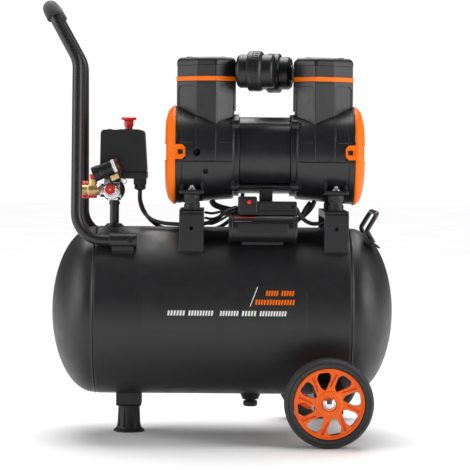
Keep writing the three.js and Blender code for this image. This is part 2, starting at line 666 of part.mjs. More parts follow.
/** A round knob with its face to the front. */
const valveKnob = () => towardsFront(turned([[0, 29 + GAP], [4, 29 + GAP], [4, 32], [8, 33], [8, 39],
  [6.8, 40], [0, 40]], SMALL_SIDES)).translate(-170, 0, 369);

const REGULATOR = { x: -166, y: -46, z: 403, tilt: THREE.MathUtils.degToRad(23) };

/** Places a piece drawn along +X on the regulator's tilted axis, from where the knob meets the body. */
function onRegulatorAxis(geometry) {
  const { x, y, z, tilt } = REGULATOR;
  return alongX(geometry).rotateY(-tilt).translate(x, y, z);
}

const regulatorKnob = () => onRegulatorAxis(turned([[0, -31], [10.8, -31], [11.5, -30], [11.5, -20],
  [10.6, -19], [10.6, 0], [0, 0]], SMALL_SIDES));

function regulatorBody() {
  const profile = [[0, GAP], [11, GAP], [11, 5], [9.5, 5.5], [9.5, 10], [0, 10]];
  const collar = onRegulatorAxis(turned(profile, SMALL_SIDES));
  const stem = block([-161, -153], [-51, -40], [380, 404]);
  const arm = block([-170, -155], [-51, -15 - GAP], [380, 384.6]);
  return join(collar, stem, arm);
}

/** The safety valve's pull ring on its short stem, beside the manifold's neck. */
function safetyRing() {
  const loop = towardsFront(ring([[2.8, -0.9], [4, -0.9], [4, 0.9], [2.8, 0.9]], SMALL_SIDES));
  const stem = alongX(bar(1, [-6.2, -3], SMALL_SIDES));
  return join(loop, stem).translate(-150.4, 0, 381);
}

const GAUGE = { x: -168, z: 367, y: [21, 33], radius: 17.5 };
function pressureGauge() {
  const [back, face] = GAUGE.y;
  const body = cut(bar(GAUGE.radius, [back, face], BODY_SIDES),
    bar(GAUGE.radius - 2, [face - 5, face + 1], BODY_SIDES));
  const stem = bar(5, [15 + GAP, back + 1], SMALL_SIDES);
  return towardsRear(join(body, stem)).translate(GAUGE.x, 0, GAUGE.z);
}

function gaugeNeedle() {
  const face = GAUGE.y[1];
  const hub = bar(2, [face - 5 + GAP, face - 2], SMALL_SIDES);
  const hand = block([-1, 1], [-4, 12.5], [face - 3.5, face - 2.5]);
  return towardsRear(join(hub, hand)).rotateY(THREE.MathUtils.degToRad(-45))
    .translate(GAUGE.x, 0, GAUGE.z);
}

// ---- drain --------------------------------------------------------------------------------
function drainValve() {
  const boss = turned([[0, 50], [12, 50], [17.5, 62], [17.5, 70], [0, 70]], SMALL_SIDES).translate(DRAIN_X, 0, 0);
  return cut(boss, tankSpace());
}

const drainKnob = () => turned([[0, 39.5], [9, 39.5], [11, 41], [11, 47], [9, 48], [4, 48],
  [4, 50 - GAP], [0, 50 - GAP]], SMALL_SIDES).translate(DRAIN_X, 0, 0);

// ---- cables and hoses ---------------------------------------------------------------------
const switchLead = () => cable([[-126.5, 0, 367.5], [-126.5, 0, 352], [-121, -4, 336], [-108, -14, 324],
  [-90, -22, 319], [-68, -28, 317.5], [-47, -32, 317], [-28, -38, 319], [-8, -52, 328], [6, -64, 340],
  [20, -70, 345]], 3);

const supplyLead = () => cable([[-126.5, 8, 367.5], [-126, 8, 352], [-119, 14, 333], [-108, 26, 319],
  [-92, 44, 309], [-68, 56, 306], [-47, 58, 305], [-25, 57, 305], [-2, 50, 312], [18, 40, 330],
  [28, 32, 350], [31, 28, 369]], 3);

const dischargeHoseLeft = () => cable([[-17, -20, 353.5], [-14, -22, 348], [-2, -26, 343], [14, -28, 339],
  [30, -20, 330], [37, -8, 323], [39, -2, 318.5]], 4.5);

const dischargeHoseRight = () => cable([[138, -20, 353.5], [134, -24, 345], [124, -28, 334], [108, -26, 323],
  [90, -16, 319], [74, -6, 318.5], [60, 0, 317.5]], 3.5);

// ---- assembly -----------------------------------------------------------------------------
function addChassis() {
  add(chassis, 'tank_shell', tankShell(), MATERIAL.tankPaint);
  add(chassis, 'tank_end_left', tankEnd(-1), MATERIAL.tankPaint);
  add(chassis, 'tank_end_right', tankEnd(1), MATERIAL.tankPaint);
  add(chassis, 'foot_bracket', footBracket(), MATERIAL.steelPaint);
  add(chassis, 'rubber_foot', rubberFoot(), MATERIAL.rubber);
  add(chassis, 'axle_bracket', axleBracket(), MATERIAL.steelPaint);
  add(chassis, 'handle_tube', sweptBar(handleLine(), HANDLE_RADIUS), MATERIAL.steelPaint);
  add(chassis, 'handle_grip', handleGrip(), MATERIAL.foam);
  add(chassis, 'handle_socket_front', handleSocket(-HANDLE_Y[0]), MATERIAL.steelPaint);
  add(chassis, 'handle_socket_rear', handleSocket(HANDLE_Y[0]), MATERIAL.steelPaint);
  add(chassis, 'lifting_loop', liftingLoop(), MATERIAL.steelPaint);
  add(chassis, 'drain_valve', drainValve(), MATERIAL.plastic);
  add(chassis, 'drain_knob', drainKnob(), MATERIAL.plastic);
}

function addWheel(name, turn) {
  const wheel = new THREE.Group();
  wheel.position.set(WHEEL_X, 0, WHEEL_RADIUS);
  wheel.rotation.z = turn;
  chassis.add(wheel);
  const middle = WHEEL_OUTER_Y - TYRE_WIDTH / 2;
  const outwards = (geometry) => towardsFront(geometry).translate(0, -middle, 0);
  add(wheel, `rim_${name}`, outwards(rim()), MATERIAL.wheelOrange);
  add(wheel, `tyre_${name}`, outwards(tyre()), MATERIAL.rubber);
  add(wheel, `wheel_bolt_${name}`, outwards(wheelBolt()), MATERIAL.chrome);
}

function addPumpSupports() {
  ['left', 'right'].forEach((side, i) => {
    add(chassis, `pump_bracket_${side}`, pumpBracket(BRACKET_X[i]), MATERIAL.steelPaint);
    for (const [depth, y] of [['front', -MOUNT_Y], ['rear', MOUNT_Y]]) {
      const mount = add(chassis, `rubber_mount_${side}_${depth}`, rubberMount(), MATERIAL.rubber);
      mount.position.set(BRACKET_X[i], y, 0);
    }
  });
}

function addPumpSide(side, sign, bracketX) {
  const mirrored = (geometry) => geometry.scale(-sign, 1, 1);
  const mirroredBracket = sign < 0 ? bracketX : 2 * PUMP_X - bracketX;
  add(pump, `crankcase_${side}`, mirrored(crankcase(mirroredBracket)), MATERIAL.casing);
  add(pump, `valve_plate_${side}`, mirrored(valvePlate()), MATERIAL.orange);
  add(pump, `cylinder_head_${side}`, mirrored(cylinderHead()), MATERIAL.plastic);
  add(pump, `fan_cover_${side}`, mirrored(fanCover()), MATERIAL.orange);
  add(pump, `piston_${side}`, piston(-2 * CRANK_THROW), MATERIAL.aluminium).position.x = sign * CYLINDER_X;
  const filter = add(pump, `intake_filter_${side}`, mirrored(intakeFilter()), MATERIAL.plastic);
  const filterX = CYLINDER_X - COLUMN_HALF - PLATE_LIP - GAP;
  filter.position.set(sign * filterX, sign * 29, 548 - PUMP_Z);
  filter.rotation.z = -FILTER_TURN;
}

function addPump() {
  addPumpSide('left', -1, BRACKET_X[0]);
  addPumpSide('right', 1, BRACKET_X[1]);
  add(pump, 'motor_stator', stator(), MATERIAL.casing);
  add(pump, 'crankshaft', crankshaft(), MATERIAL.steel);
  add(chassis, 'capacitor_housing', capacitorHousing(), MATERIAL.plastic);
  const [start, end] = CAPACITOR.x;
  const can = alongX(bar(17, [start + 8, end - 8], SMALL_SIDES)).translate(0, CAPACITOR.y, CAPACITOR.z);
  add(chassis, 'capacitor', can, MATERIAL.aluminium);
  add(chassis, 'terminal_box', terminalBox(), MATERIAL.plastic);
  add(chassis, 'reset_button', resetButton(), MATERIAL.red);
}

function addFittings() {
  add(chassis, 'switch_base', switchBase(), MATERIAL.plastic);
  add(chassis, 'switch_cover', switchCover(), MATERIAL.plastic);
  add(chassis, 'switch_knob', switchKnob(), MATERIAL.red);
  add(chassis, 'riser_manifold', riserManifold(), MATERIAL.chrome);
  add(chassis, 'coupler_body', couplerBody(), MATERIAL.steel);
  add(chassis, 'coupler_sleeve', couplerSleeve(), MATERIAL.red);
  add(chassis, 'outlet_cock', outletCock(), MATERIAL.brass);
  add(chassis, 'valve_knob', valveKnob(), MATERIAL.red);
  add(chassis, 'regulator_body', regulatorBody(), MATERIAL.white);
  add(chassis, 'regulator_knob', regulatorKnob(), MATERIAL.plastic);
  add(chassis, 'safety_ring', safetyRing(), MATERIAL.chrome);
  add(chassis, 'pressure_gauge', pressureGauge(), MATERIAL.plastic);
  add(chassis, 'gauge_needle', gaugeNeedle(), MATERIAL.red);
}

function addCables() {
  add(chassis, 'switch_lead', switchLead(), MATERIAL.rubber);
  add(chassis, 'supply_lead', supplyLead(), MATERIAL.rubber);
  add(chassis, 'discharge_hose_left', dischargeHoseLeft(), MATERIAL.rubber);
  add(chassis, 'discharge_hose_right', dischargeHoseRight(), MATERIAL.rubber);
}

addChassis();
addWheel('front', 0);
addWheel('rear', Math.PI);
addPumpSupports();
addPump();
addFittings();
addCables();

export default compressor;
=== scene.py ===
"""The looks of a portable twin-cylinder air compressor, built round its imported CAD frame.

Sizes are millimetres until a mesh is made. +X runs to the tank's wheel end, -Y is the front and
+Z is up. Most places come from the boxes of the CAD nodes, which Box reads.
"""

import math

import bmesh
import bpy
from mathutils import Matrix, Vector


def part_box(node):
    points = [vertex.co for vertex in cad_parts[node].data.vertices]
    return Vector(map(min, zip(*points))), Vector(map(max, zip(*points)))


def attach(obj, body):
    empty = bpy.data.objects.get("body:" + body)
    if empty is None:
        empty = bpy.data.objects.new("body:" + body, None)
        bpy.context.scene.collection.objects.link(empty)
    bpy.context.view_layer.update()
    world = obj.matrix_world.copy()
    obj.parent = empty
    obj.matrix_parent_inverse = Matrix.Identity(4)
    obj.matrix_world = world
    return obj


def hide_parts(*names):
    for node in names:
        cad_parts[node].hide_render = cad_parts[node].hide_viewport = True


MM = 0.001
SHARP_ANGLE = math.radians(32)  # edges sharper than this are shaded as edges
X, Y, Z = Vector((1, 0, 0)), Vector((0, 1, 0)), Vector((0, 0, 1))

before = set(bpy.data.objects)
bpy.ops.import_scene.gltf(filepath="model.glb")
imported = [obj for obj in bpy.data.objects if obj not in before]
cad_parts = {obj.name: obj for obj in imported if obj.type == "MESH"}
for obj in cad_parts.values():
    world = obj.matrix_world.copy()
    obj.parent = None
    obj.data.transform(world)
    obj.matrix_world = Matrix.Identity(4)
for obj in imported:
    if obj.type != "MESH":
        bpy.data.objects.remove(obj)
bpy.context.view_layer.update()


class Box:
    """A CAD node's box at rest, in millimetres."""

    def __init__(self, node):
        self.low, self.high = (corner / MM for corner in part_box(node))
        self.middle = (self.low + self.high) / 2
        self.size = self.high - self.low


TANK = Box("tank_shell")
TANK_RADIUS = TANK.size.z / 2


def at(x, y, z):
    """A point measured from the tank's middle along X, and from the floor."""
    return Vector((TANK.middle.x + x, y, z))


# ---- outlines and lines ----
def rounded(corners, radius, steps=5, closed=True):
    """The points of an outline or line, flat or in space, with each corner turned into an arc."""
    count = len(corners)
    radii = radius if isinstance(radius, (list, tuple)) else [radius] * count
    points = []
    for i, corner in enumerate(corners):
        here = Vector(corner)
        if radii[i] == 0 or (not closed and i in (0, count - 1)):
            points.append(here)
            continue
        back = Vector(corners[i - 1]) - here
        ahead = Vector(corners[(i + 1) % count]) - here
        half = back.angle(ahead) / 2
        reach = min(radii[i] / math.tan(half), back.length * 0.49, ahead.length * 0.49)
        arc_radius = reach * math.tan(half)
        towards = (back.normalized() + ahead.normalized()).normalized()
        centre = here + towards * (arc_radius / math.sin(half))
        start = here + back.normalized() * reach - centre
        end = here + ahead.normalized() * reach - centre
        turn = math.pi - 2 * half
        for k in range(steps + 1):
            share = k / steps
            spoke = start * math.sin((1 - share) * turn) + end * math.sin(share * turn)
            points.append(centre + spoke / math.sin(turn))
    return points


def circle(radius, steps):
    """The corners of a regular outline."""
    turns = [2 * math.pi * k / steps for k in range(steps)]
    return [(radius * math.cos(a), radius * math.sin(a)) for a in turns]


def flowing(places, step=2.0):
    """A smooth line through the places: the centripetal Catmull-Rom curve that the CAD follows."""
    places = [Vector(place) for place in places]
    places = [2 * places[0] - places[1], *places, 2 * places[-1] - places[-2]]
    line = []
    for p0, p1, p2, p3 in zip(places, places[1:], places[2:], places[3:]):
        knots = [0.0]
        for a, b in ((p0, p1), (p1, p2), (p2, p3)):
            knots.append(knots[-1] + math.sqrt((b - a).length))
        t0, t1, t2, t3 = knots
        pieces = max(2, round((p2 - p1).length / step))
        for k in range(pieces):
            t = t1 + (t2 - t1) * k / pieces
            a1 = p0 * ((t1 - t) / (t1 - t0)) + p1 * ((t - t0) / (t1 - t0))
            a2 = p1 * ((t2 - t) / (t2 - t1)) + p2 * ((t - t1) / (t2 - t1))
            a3 = p2 * ((t3 - t) / (t3 - t2)) + p3 * ((t - t2) / (t3 - t2))
            b1 = a1 * ((t2 - t) / (t2 - t0)) + a2 * ((t - t0) / (t2 - t0))
            b2 = a2 * ((t3 - t) / (t3 - t1)) + a3 * ((t - t1) / (t3 - t1))
            line.append(b1 * ((t2 - t) / (t2 - t1)) + b2 * ((t - t1) / (t2 - t1)))
    line.append(places[-2])
    return line


# ---- shapes, all in millimetres ----
def facing(direction, origin=(0, 0, 0)):
    """Where a shape drawn along its own +Z goes so that it points along direction, upright."""
    out = Vector(direction).normalized()
    up = Y if abs(out.z) > 0.99 else Z
    up = (up - out * up.dot(out)).normalized()
    axes = Matrix((up.cross(out), up, out)).transposed()
    return Matrix.Translation(Vector(origin)) @ axes.to_4x4()


def moved(shape, place):
    """The same shape, taken to its place."""
    bmesh.ops.transform(shape, matrix=place, verts=shape.verts)
    return shape


def shifted(shape, *offset):
    return moved(shape, Matrix.Translation(Vector(offset)))


def put(shape, x, y, z):
    """The same shape, moved from the origin to a point that at() names."""
    return moved(shape, Matrix.Translation(at(x, y, z)))


def pointed(shape, direction, x, y, z):
    """A shape drawn along +Z, turned to point along direction from a place."""
    return moved(shape, facing(direction, (x, y, z)))


def copied(shape, place):
    return moved(shape.copy(), place)


def merged(shapes):
    """Several shapes as one."""
    whole = bmesh.new()
    for shape in shapes:
        carrier = bpy.data.meshes.new("carrier")
        shape.to_mesh(carrier)
        whole.from_mesh(carrier)
        bpy.data.meshes.remove(carrier)
    return whole


def lathe(profile, steps=96, loop=False):
    """A solid of revolution about Z from (radius, height) points, or a ring from a closed loop."""
    shape = bmesh.new()
    rings = []
    for radius, height in profile:
        if radius < 1e-6:
            rings.append([shape.verts.new((0, 0, height))])
        else:
            rings.append([shape.verts.new((x, y, height)) for x, y in circle(radius, steps)])
    pairs = list(zip(rings, rings[1:])) + ([(rings[-1], rings[0])] if loop else [])
    for lower, upper in pairs:
        for k in range(steps):
            n = (k + 1) % steps
            around = [lower[k % len(lower)], lower[n % len(lower)],
                      upper[n % len(upper)], upper[k % len(upper)]]
            face = list(dict.fromkeys(around))
            if len(face) > 2:
                shape.faces.new(face)
    return shape


def turned(profile, radii, steps=64, arc_steps=3):
    """A solid of revolution whose profile has rounded corners."""
    return lathe(rounded(profile, radii, arc_steps, closed=False), steps)


def disc(radius, low, high, edge=0.0, steps=64):
    """A round bar between two heights, with rounded rims."""
    return turned([(0, low), (radius, low), (radius, high), (0, high)], [0, edge, edge, 0], steps)


def washer(outer, inner, low, high, edge=0.0, steps=64):
    """A ring of square section with rounded edges."""
    corners = [(inner, low), (outer, low), (outer, high), (inner, high)]
    return lathe(rounded(corners, edge, 3) if edge else corners, steps, loop=True)


def prism(outline, low, high, edge=0.0, steps=3):
    """An outline raised between two heights, with its two rims rounded."""
    shape = bmesh.new()
    floor = [shape.verts.new((p[0], p[1], low)) for p in outline]
    roof = [shape.verts.new((p[0], p[1], high)) for p in outline]
    caps = [shape.faces.new(floor[::-1]), shape.faces.new(roof)]
    for i, corner in enumerate(floor):
        n = (i + 1) % len(floor)
        shape.faces.new((corner, floor[n], roof[n], roof[i]))
    if edge:
        rims = [e for cap in caps for e in cap.edges]
        bmesh.ops.bevel(shape, geom=rims, offset=edge, segments=steps, profile=0.5,
                        affect="EDGES", clamp_overlap=True)
    return shape


def prism_x(outline, *heights):
    """An outline of (y, z) points raised along X."""
    turn = Matrix(((0, 0, 1, 0), (1, 0, 0, 0), (0, 1, 0, 0), (0, 0, 0, 1)))
    return moved(prism(outline, *heights), turn)


def prism_y(outline, front, back, *edge):
    """An outline of (x, z) points raised along Y."""
    return moved(prism(outline, -back, -front, *edge), Matrix.Rotation(math.pi / 2, 4, "X"))


def arch(x0, x1, low, high, radius, steps=5):
    """An oblong outline with its two upper corners rounded."""
    return rounded([(x0, low), (x1, low), (x1, high), (x0, high)], [0, 0, radius, radius], steps)


def block(low, high, edge=0.0):
    """A box between two corners, with its edges rounded."""
    low, high = Vector(low), Vector(high)
    shape = bmesh.new()
    bmesh.ops.create_cube(shape, size=1)
    scale = Matrix.Diagonal((*(high - low), 1))
    moved(shape, Matrix.Translation((low + high) / 2) @ scale)
    if edge:
        bmesh.ops.bevel(shape, geom=shape.edges[:], offset=edge, segments=3, profile=0.5,
                        affect="EDGES", clamp_overlap=True)
    return shape


def skinned(shape, rings, closed=False):
    """Walls from ring to ring, and back to the first ring or over both ends."""
    for lower, upper in zip(rings, rings[1:] + ([rings[0]] if closed else [])):
        for k in range(len(lower)):
            n = (k + 1) % len(lower)
            shape.faces.new((lower[k], lower[n], upper[n], upper[k]))
    if not closed:
        shape.faces.new(rings[0][::-1])
        shape.faces.new(rings[-1])
    return shape


def tube(line, radius, sides=24, closed=False):
    """A round section swept along a line without twisting. The radius may be one per point."""
    shape = bmesh.new()
    line = [Vector(point) for point in line]
    count = len(line)
    radii = radius if isinstance(radius, (list, tuple)) else [radius] * count
    side = None
    rings = []
    for i, point in enumerate(line):
        before = line[i - 1] if closed else line[max(i - 1, 0)]
        after = line[(i + 1) % count] if closed else line[min(i + 1, count - 1)]
        along = (after - before).normalized()
        side = along.orthogonal() if side is None else side - along * side.dot(along)
        side.normalize()
        up = along.cross(side)
        rings.append([shape.verts.new(point + side * x + up * y)
                      for x, y in circle(radii[i], sides)])
    return skinned(shape, rings, closed)


def evaluated(target, holders):
    """What a holder object shows with its modifiers, as a shape. The holders are removed."""
    shape = bmesh.new()
    shape.from_object(target, bpy.context.evaluated_depsgraph_get())
    for holder in holders:
        mesh = holder.data
        bpy.data.objects.remove(holder)
        bpy.data.meshes.remove(mesh)
    return shape


def shown(name, data):
    """An object in the scene for a mesh, a light or a camera."""
    made = bpy.data.objects.new(name, data)
    bpy.context.scene.collection.objects.link(made)
    return made


def holder(shape):
    """A passing object for a shape, in the scene while modifiers work on it."""
    bmesh.ops.recalc_face_normals(shape, faces=shape.faces)
    mesh = bpy.data.meshes.new("holder")
    shape.to_mesh(mesh)
    return shown("holder", mesh)


def combined(body, tools, operation):
    """The body with each tool cut away (DIFFERENCE), joined on (UNION) or kept (INTERSECT)."""
    target = holder(body)
    others = [holder(tool) for tool in tools]
    for other in others:
        modifier = target.modifiers.new("boolean", "BOOLEAN")
        modifier.operation = operation
        modifier.solver = "EXACT"
        modifier.object = other
    return evaluated(target, [target, *others])


def cut(body, *tools):
    return combined(body, tools, "DIFFERENCE")


def joined(body, *tools):
    return combined(body, tools, "UNION")


def common(body, *tools):
    return combined(body, tools, "INTERSECT")


def piece(name, shapes, finish, body="chassis", replaces=()):
    """One named object of the visual model, riding on a CAD body. Its slot is named as its finish."""
    whole = merged(shapes if isinstance(shapes, (list, tuple)) else [shapes])
    bmesh.ops.remove_doubles(whole, verts=whole.verts, dist=1e-4)
    bmesh.ops.recalc_face_normals(whole, faces=whole.faces)
    moved(whole, Matrix.Diagonal((MM, MM, MM, 1)))
    mesh = bpy.data.meshes.new(name)
    whole.to_mesh(mesh)
    for polygon in mesh.polygons:
        polygon.use_smooth = True
    mesh.set_sharp_from_angle(angle=SHARP_ANGLE)
    mesh.materials.append(FINISH[finish])
    made = shown(name, mesh)
    normals = made.modifiers.new("normals", "WEIGHTED_NORMAL")
    normals.keep_sharp = True
    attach(made, body)
    if replaces:
        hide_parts(*([replaces] if isinstance(replaces, str) else replaces))
    return made


def stand_in(node, ending, shapes, finish, body="chassis"):
    """A piece that takes a CAD node's place."""
    return piece(f"{node}_{ending}", shapes, finish, body, replaces=node)


# ---- finishes ----
FINISH = {}


class Finish:
    """A material's node tree, with short ways to add to it."""

    def __init__(self, name, metallic=0.0):
        self.material = bpy.data.materials.new(name)
        self.material.use_nodes = True
        self.tree = self.material.node_tree
        self.shader = self.tree.nodes["Principled BSDF"]
        self.shader.inputs["Metallic"].default_value = metallic
        self.place = self.node("ShaderNodeTexCoord").outputs["Object"]

    def node(self, kind, **settings):
        made = self.tree.nodes.new(kind)
        for key, value in settings.items():
            if key[0].isupper():
                made.inputs[key.replace("_", " ")].default_value = value
            else:
                setattr(made, key, value)
        return made

    def link(self, output, socket):
        self.tree.links.new(output, socket)

    def noise(self, size, detail=2.0):
        """Soft noise whose lumps are about that many millimetres across."""
        made = self.node("ShaderNodeTexNoise", Scale=1 / (size * MM), Detail=detail)
        self.link(self.place, made.inputs["Vector"])
        return made.outputs["Fac"]

    def between(self, share, low, high):
        """A number that goes from low to high as a noise goes from its dark to its light parts."""
        made = self.node("ShaderNodeMapRange", From_Min=0.3, From_Max=0.7, To_Min=low, To_Max=high)
        self.link(share, made.inputs["Value"])
        return made.outputs["Result"]

    def colours(self, share, stops):
        """A colour from a ramp of (position, colour) stops."""
        made = self.node("ShaderNodeValToRGB")
        ramp = made.color_ramp
        for i, (position, colour) in enumerate(stops):
            stop = ramp.elements[i] if i < 2 else ramp.elements.new(position)
            stop.position = position
            stop.color = (*colour, 1)
        self.link(share, made.inputs["Fac"])
        return made.outputs["Color"]

    def relief(self, layers, edge=0.5):
        """Bumps from (height output, height in millimetres) pairs, over softly rounded edges."""
        bevel = self.node("ShaderNodeBevel", samples=4, Radius=edge * MM)
        normal = bevel.outputs["Normal"]
        for height, millimetres in layers:
            bump = self.node("ShaderNodeBump", Strength=1.0, Distance=millimetres * MM)
            self.link(height, bump.inputs["Height"])
            self.link(normal, bump.inputs["Normal"])
            normal = bump.outputs["Normal"]
        self.link(normal, self.shader.inputs["Normal"])

    def colour_from(self, output):
        self.link(output, self.shader.inputs["Base Color"])

    def roughness_from(self, output):
        self.link(output, self.shader.inputs["Roughness"])


def tinted(colour, factor):
    return tuple(min(1.0, channel * factor) for channel in colour)


def coated(name, colour, roughness, patch, patch_depth, grain, height,
           metallic=0.0, gloss_spread=0.05, edge=0.5, specular=0.5):
    """A surface with soft patches in colour and gloss, and a grain of one size and height."""
    made = Finish(name, metallic)
    made.shader.inputs["Specular IOR Level"].default_value = specular
    patches = made.noise(patch, 3)
    made.colour_from(made.colours(patches, [(0.3, tinted(colour, 1 - patch_depth)),
                                            (0.7, tinted(colour, 1 + patch_depth))]))
    smears = made.noise(patch / 6, 4)
    made.roughness_from(made.between(smears, roughness - gloss_spread, roughness + gloss_spread))
    made.relief([(made.noise(grain), height)], edge)
    FINISH[name] = made.material


coated("tank_paint", (0.010, 0.010, 0.0115), 0.45, 90, 0.1, 2.2, 0.015)
coated("tank_satin", (0.0125, 0.0125, 0.014), 0.44, 90, 0.1, 1.0, 0.02)
coated("steel_paint", (0.012, 0.012, 0.014), 0.38, 30, 0.15, 1.6, 0.02)
coated("casing", (0.012, 0.012, 0.014), 0.36, 40, 0.15, 0.9, 0.03, edge=1.4)
coated("black_plastic", (0.008, 0.008, 0.0095), 0.38, 25, 0.15, 0.5, 0.015)
coated("orange_plastic", (1.0, 0.17, 0.001), 0.45, 30, 0.05, 0.6, 0.008, specular=0.22)
coated("wheel_orange", (1.0, 0.14, 0.006), 0.35, 25, 0.06, 0.6, 0.01, specular=0.35)
coated("tyre", (0.024, 0.024, 0.026), 0.6, 18, 0.2, 0.8, 0.03, gloss_spread=0.1)
coated("rubber", (0.014, 0.014, 0.015), 0.55, 12, 0.2, 0.7, 0.02, gloss_spread=0.1)
coated("cable", (0.012, 0.012, 0.013), 0.45, 15, 0.15, 0.6, 0.01)
coated("red_plastic", (0.75, 0.025, 0.02), 0.3, 10, 0.06, 0.5, 0.006)
coated("brass", (0.85, 0.6, 0.27), 0.34, 6, 0.12, 0.4, 0.01, metallic=0.8)
coated("chrome", (0.8, 0.8, 0.82), 0.14, 8, 0.05, 0.5, 0.004, metallic=1.0)
coated("bright_steel", (0.5, 0.5, 0.52), 0.3, 8, 0.1, 0.4, 0.008, metallic=1.0)
coated("aluminium", (0.6, 0.6, 0.62), 0.4, 10, 0.1, 0.6, 0.02, metallic=1.0)
coated("steel_mark", (0.16, 0.16, 0.165), 0.45, 10, 0.1, 0.5, 0.006)
# A dark red that is a painted reflection of the red valve knob, put on the regulator's nut.
coated("painted_red_reflection", (0.09, 0.008, 0.006), 0.35, 8, 0.1, 0.5, 0.006)
coated("white_plastic", (0.8, 0.8, 0.78), 0.4, 10, 0.04, 0.5, 0.006)


def foam():
    """Closed-cell foam: fine pits all over, with a dull bloom."""
    made = Finish("foam_grip")
    made.shader.inputs["Sheen Weight"].default_value = 0.25
    cells = made.node("ShaderNodeTexVoronoi", Scale=1 / (0.9 * MM))
    made.link(made.place, cells.inputs["Vector"])
    patches = made.noise(14, 3)
    made.colour_from(made.colours(patches, [(0.3, (0.009, 0.009, 0.01)), (0.7, (0.016, 0.016, 0.017))]))
    made.roughness_from(made.between(patches, 0.72, 0.9))
    made.relief([(cells.outputs["Distance"], 0.12), (made.noise(6), 0.1)])
    FINISH["foam_grip"] = made.material


foam()

SLOT_OF_CAD = {
    "axle_bracket": "steel_paint", "capacitor": "aluminium", "crankshaft": "bright_steel",
    "piston_left": "aluminium", "piston_right": "aluminium", "gauge_needle": "red_plastic",
}


# ---- stage, lights and camera ----
CAMERA_DISTANCE = 2850
CAMERA_HEIGHT = 430
AIM_X = 18.6  # where the camera's line of sight crosses the tank's long axis, from its middle
CAMERA_TURN, CAMERA_TILT, CAMERA_ROLL = 0.6, 2.6, 0.5  # degrees to the right, down and about itself
LENS = 143.5
ROOM_LIGHT = 0.09
OVERHEAD_LIGHT = 3.5
OVERHEAD_SPREAD = 52  # degrees across, which sets how soft the shadows are
OVERHEAD_LEAN = 27  # degrees that it comes from behind the machine
SIDE_LIGHT = 19
FRONT_LIGHT = 18


def camera():
    """A camera at the height of the switch, far off, looking slightly down and to the right."""
    data = bpy.data.cameras.new("camera")
    data.lens = LENS
    data.sensor_width = 36
    data.clip_end = 30
    made = shown("camera", data)
    turn, tilt, roll = (math.radians(a) for a in (CAMERA_TURN, CAMERA_TILT, CAMERA_ROLL))
    place = at(AIM_X - CAMERA_DISTANCE * math.sin(turn),
               -CAMERA_DISTANCE * math.cos(turn), CAMERA_HEIGHT) * MM
    turned = Matrix.Rotation(-turn, 4, "Z") @ Matrix.Rotation(math.pi / 2 - tilt, 4, "X")
    made.matrix_world = Matrix.Translation(place) @ turned @ Matrix.Rotation(roll, 4, "Z")
    bpy.context.scene.camera = made


def softbox(name, place, size, power):
    """A rectangular light in metres, aimed at the middle of the machine."""
    data = bpy.data.lights.new(name, "AREA")
    data.shape = "RECTANGLE"
    data.size, data.size_y = size
    data.energy = power
    made = shown(name, data)
    made.location = place
    aim = Vector((0, 0, 0.3)) - Vector(place)
    made.rotation_euler = aim.to_track_quat("-Z", "Y").to_euler()


def floor():
    """A wide pale floor, in metres."""
    shape = bmesh.new()
    bmesh.ops.create_grid(shape, x_segments=1, y_segments=1, size=12)
    mesh = bpy.data.meshes.new("floor")
    shape.to_mesh(mesh)
    made = Finish("floor")
    pale = made.noise(400, 2)
    made.colour_from(made.colours(pale, [(0.3, (0.9, 0.9, 0.9)), (0.7, (0.93, 0.93, 0.93))]))
    made.shader.inputs["Roughness"].default_value = 0.9
    made.shader.inputs["Specular IOR Level"].default_value = 0.1
    mesh.materials.append(made.material)
    shown("floor", mesh)


def studio():
    """A dim white room with a bright backdrop, a broad light overhead and two softboxes a side."""
    world = bpy.data.worlds.new("studio")
    world.use_nodes = True
    nodes, links = world.node_tree.nodes, world.node_tree.links
    room = nodes["Background"]
    room.inputs["Color"].default_value = (1, 1, 1, 1)
    room.inputs["Strength"].default_value = ROOM_LIGHT
    backdrop = nodes.new("ShaderNodeBackground")
    backdrop.inputs["Color"].default_value = (1, 1, 1, 1)
    backdrop.inputs["Strength"].default_value = 1.0
    ray, choice = nodes.new("ShaderNodeLightPath"), nodes.new("ShaderNodeMixShader")
    links.new(ray.outputs["Is Camera Ray"], choice.inputs["Fac"])
    links.new(room.outputs["Background"], choice.inputs[1])
    links.new(backdrop.outputs["Background"], choice.inputs[2])
    links.new(choice.outputs["Shader"], nodes["World Output"].inputs["Surface"])
    bpy.context.scene.world = world
    bpy.context.scene.view_settings.view_transform = "Standard"
    overhead = bpy.data.lights.new("overhead", "SUN")
    overhead.energy = OVERHEAD_LIGHT
    overhead.angle = math.radians(OVERHEAD_SPREAD)
    shown("overhead", overhead).rotation_euler = (-math.radians(OVERHEAD_LEAN), 0, 0)
    softbox("left_strip", (-2.2, -0.35, 0.9), (1.0, 2.2), SIDE_LIGHT)
    softbox("right_strip", (2.2, -0.5, 0.9), (1.0, 2.2), SIDE_LIGHT * 1.3)
    softbox("left_front", (-2.3, -1.35, 1.1), (0.7, 1.4), FRONT_LIGHT)
    softbox("right_front", (2.3, -1.35, 1.1), (0.7, 1.4), FRONT_LIGHT)


# ---- tank ----
SEAM = TANK.size.x / 2
TANK_HALF = Box("tank_end_right").high.x - TANK.middle.x
END_STEPS = 28
SEAM_STEP = 1.1  # how far the shell stands proud of the ends that slip into it


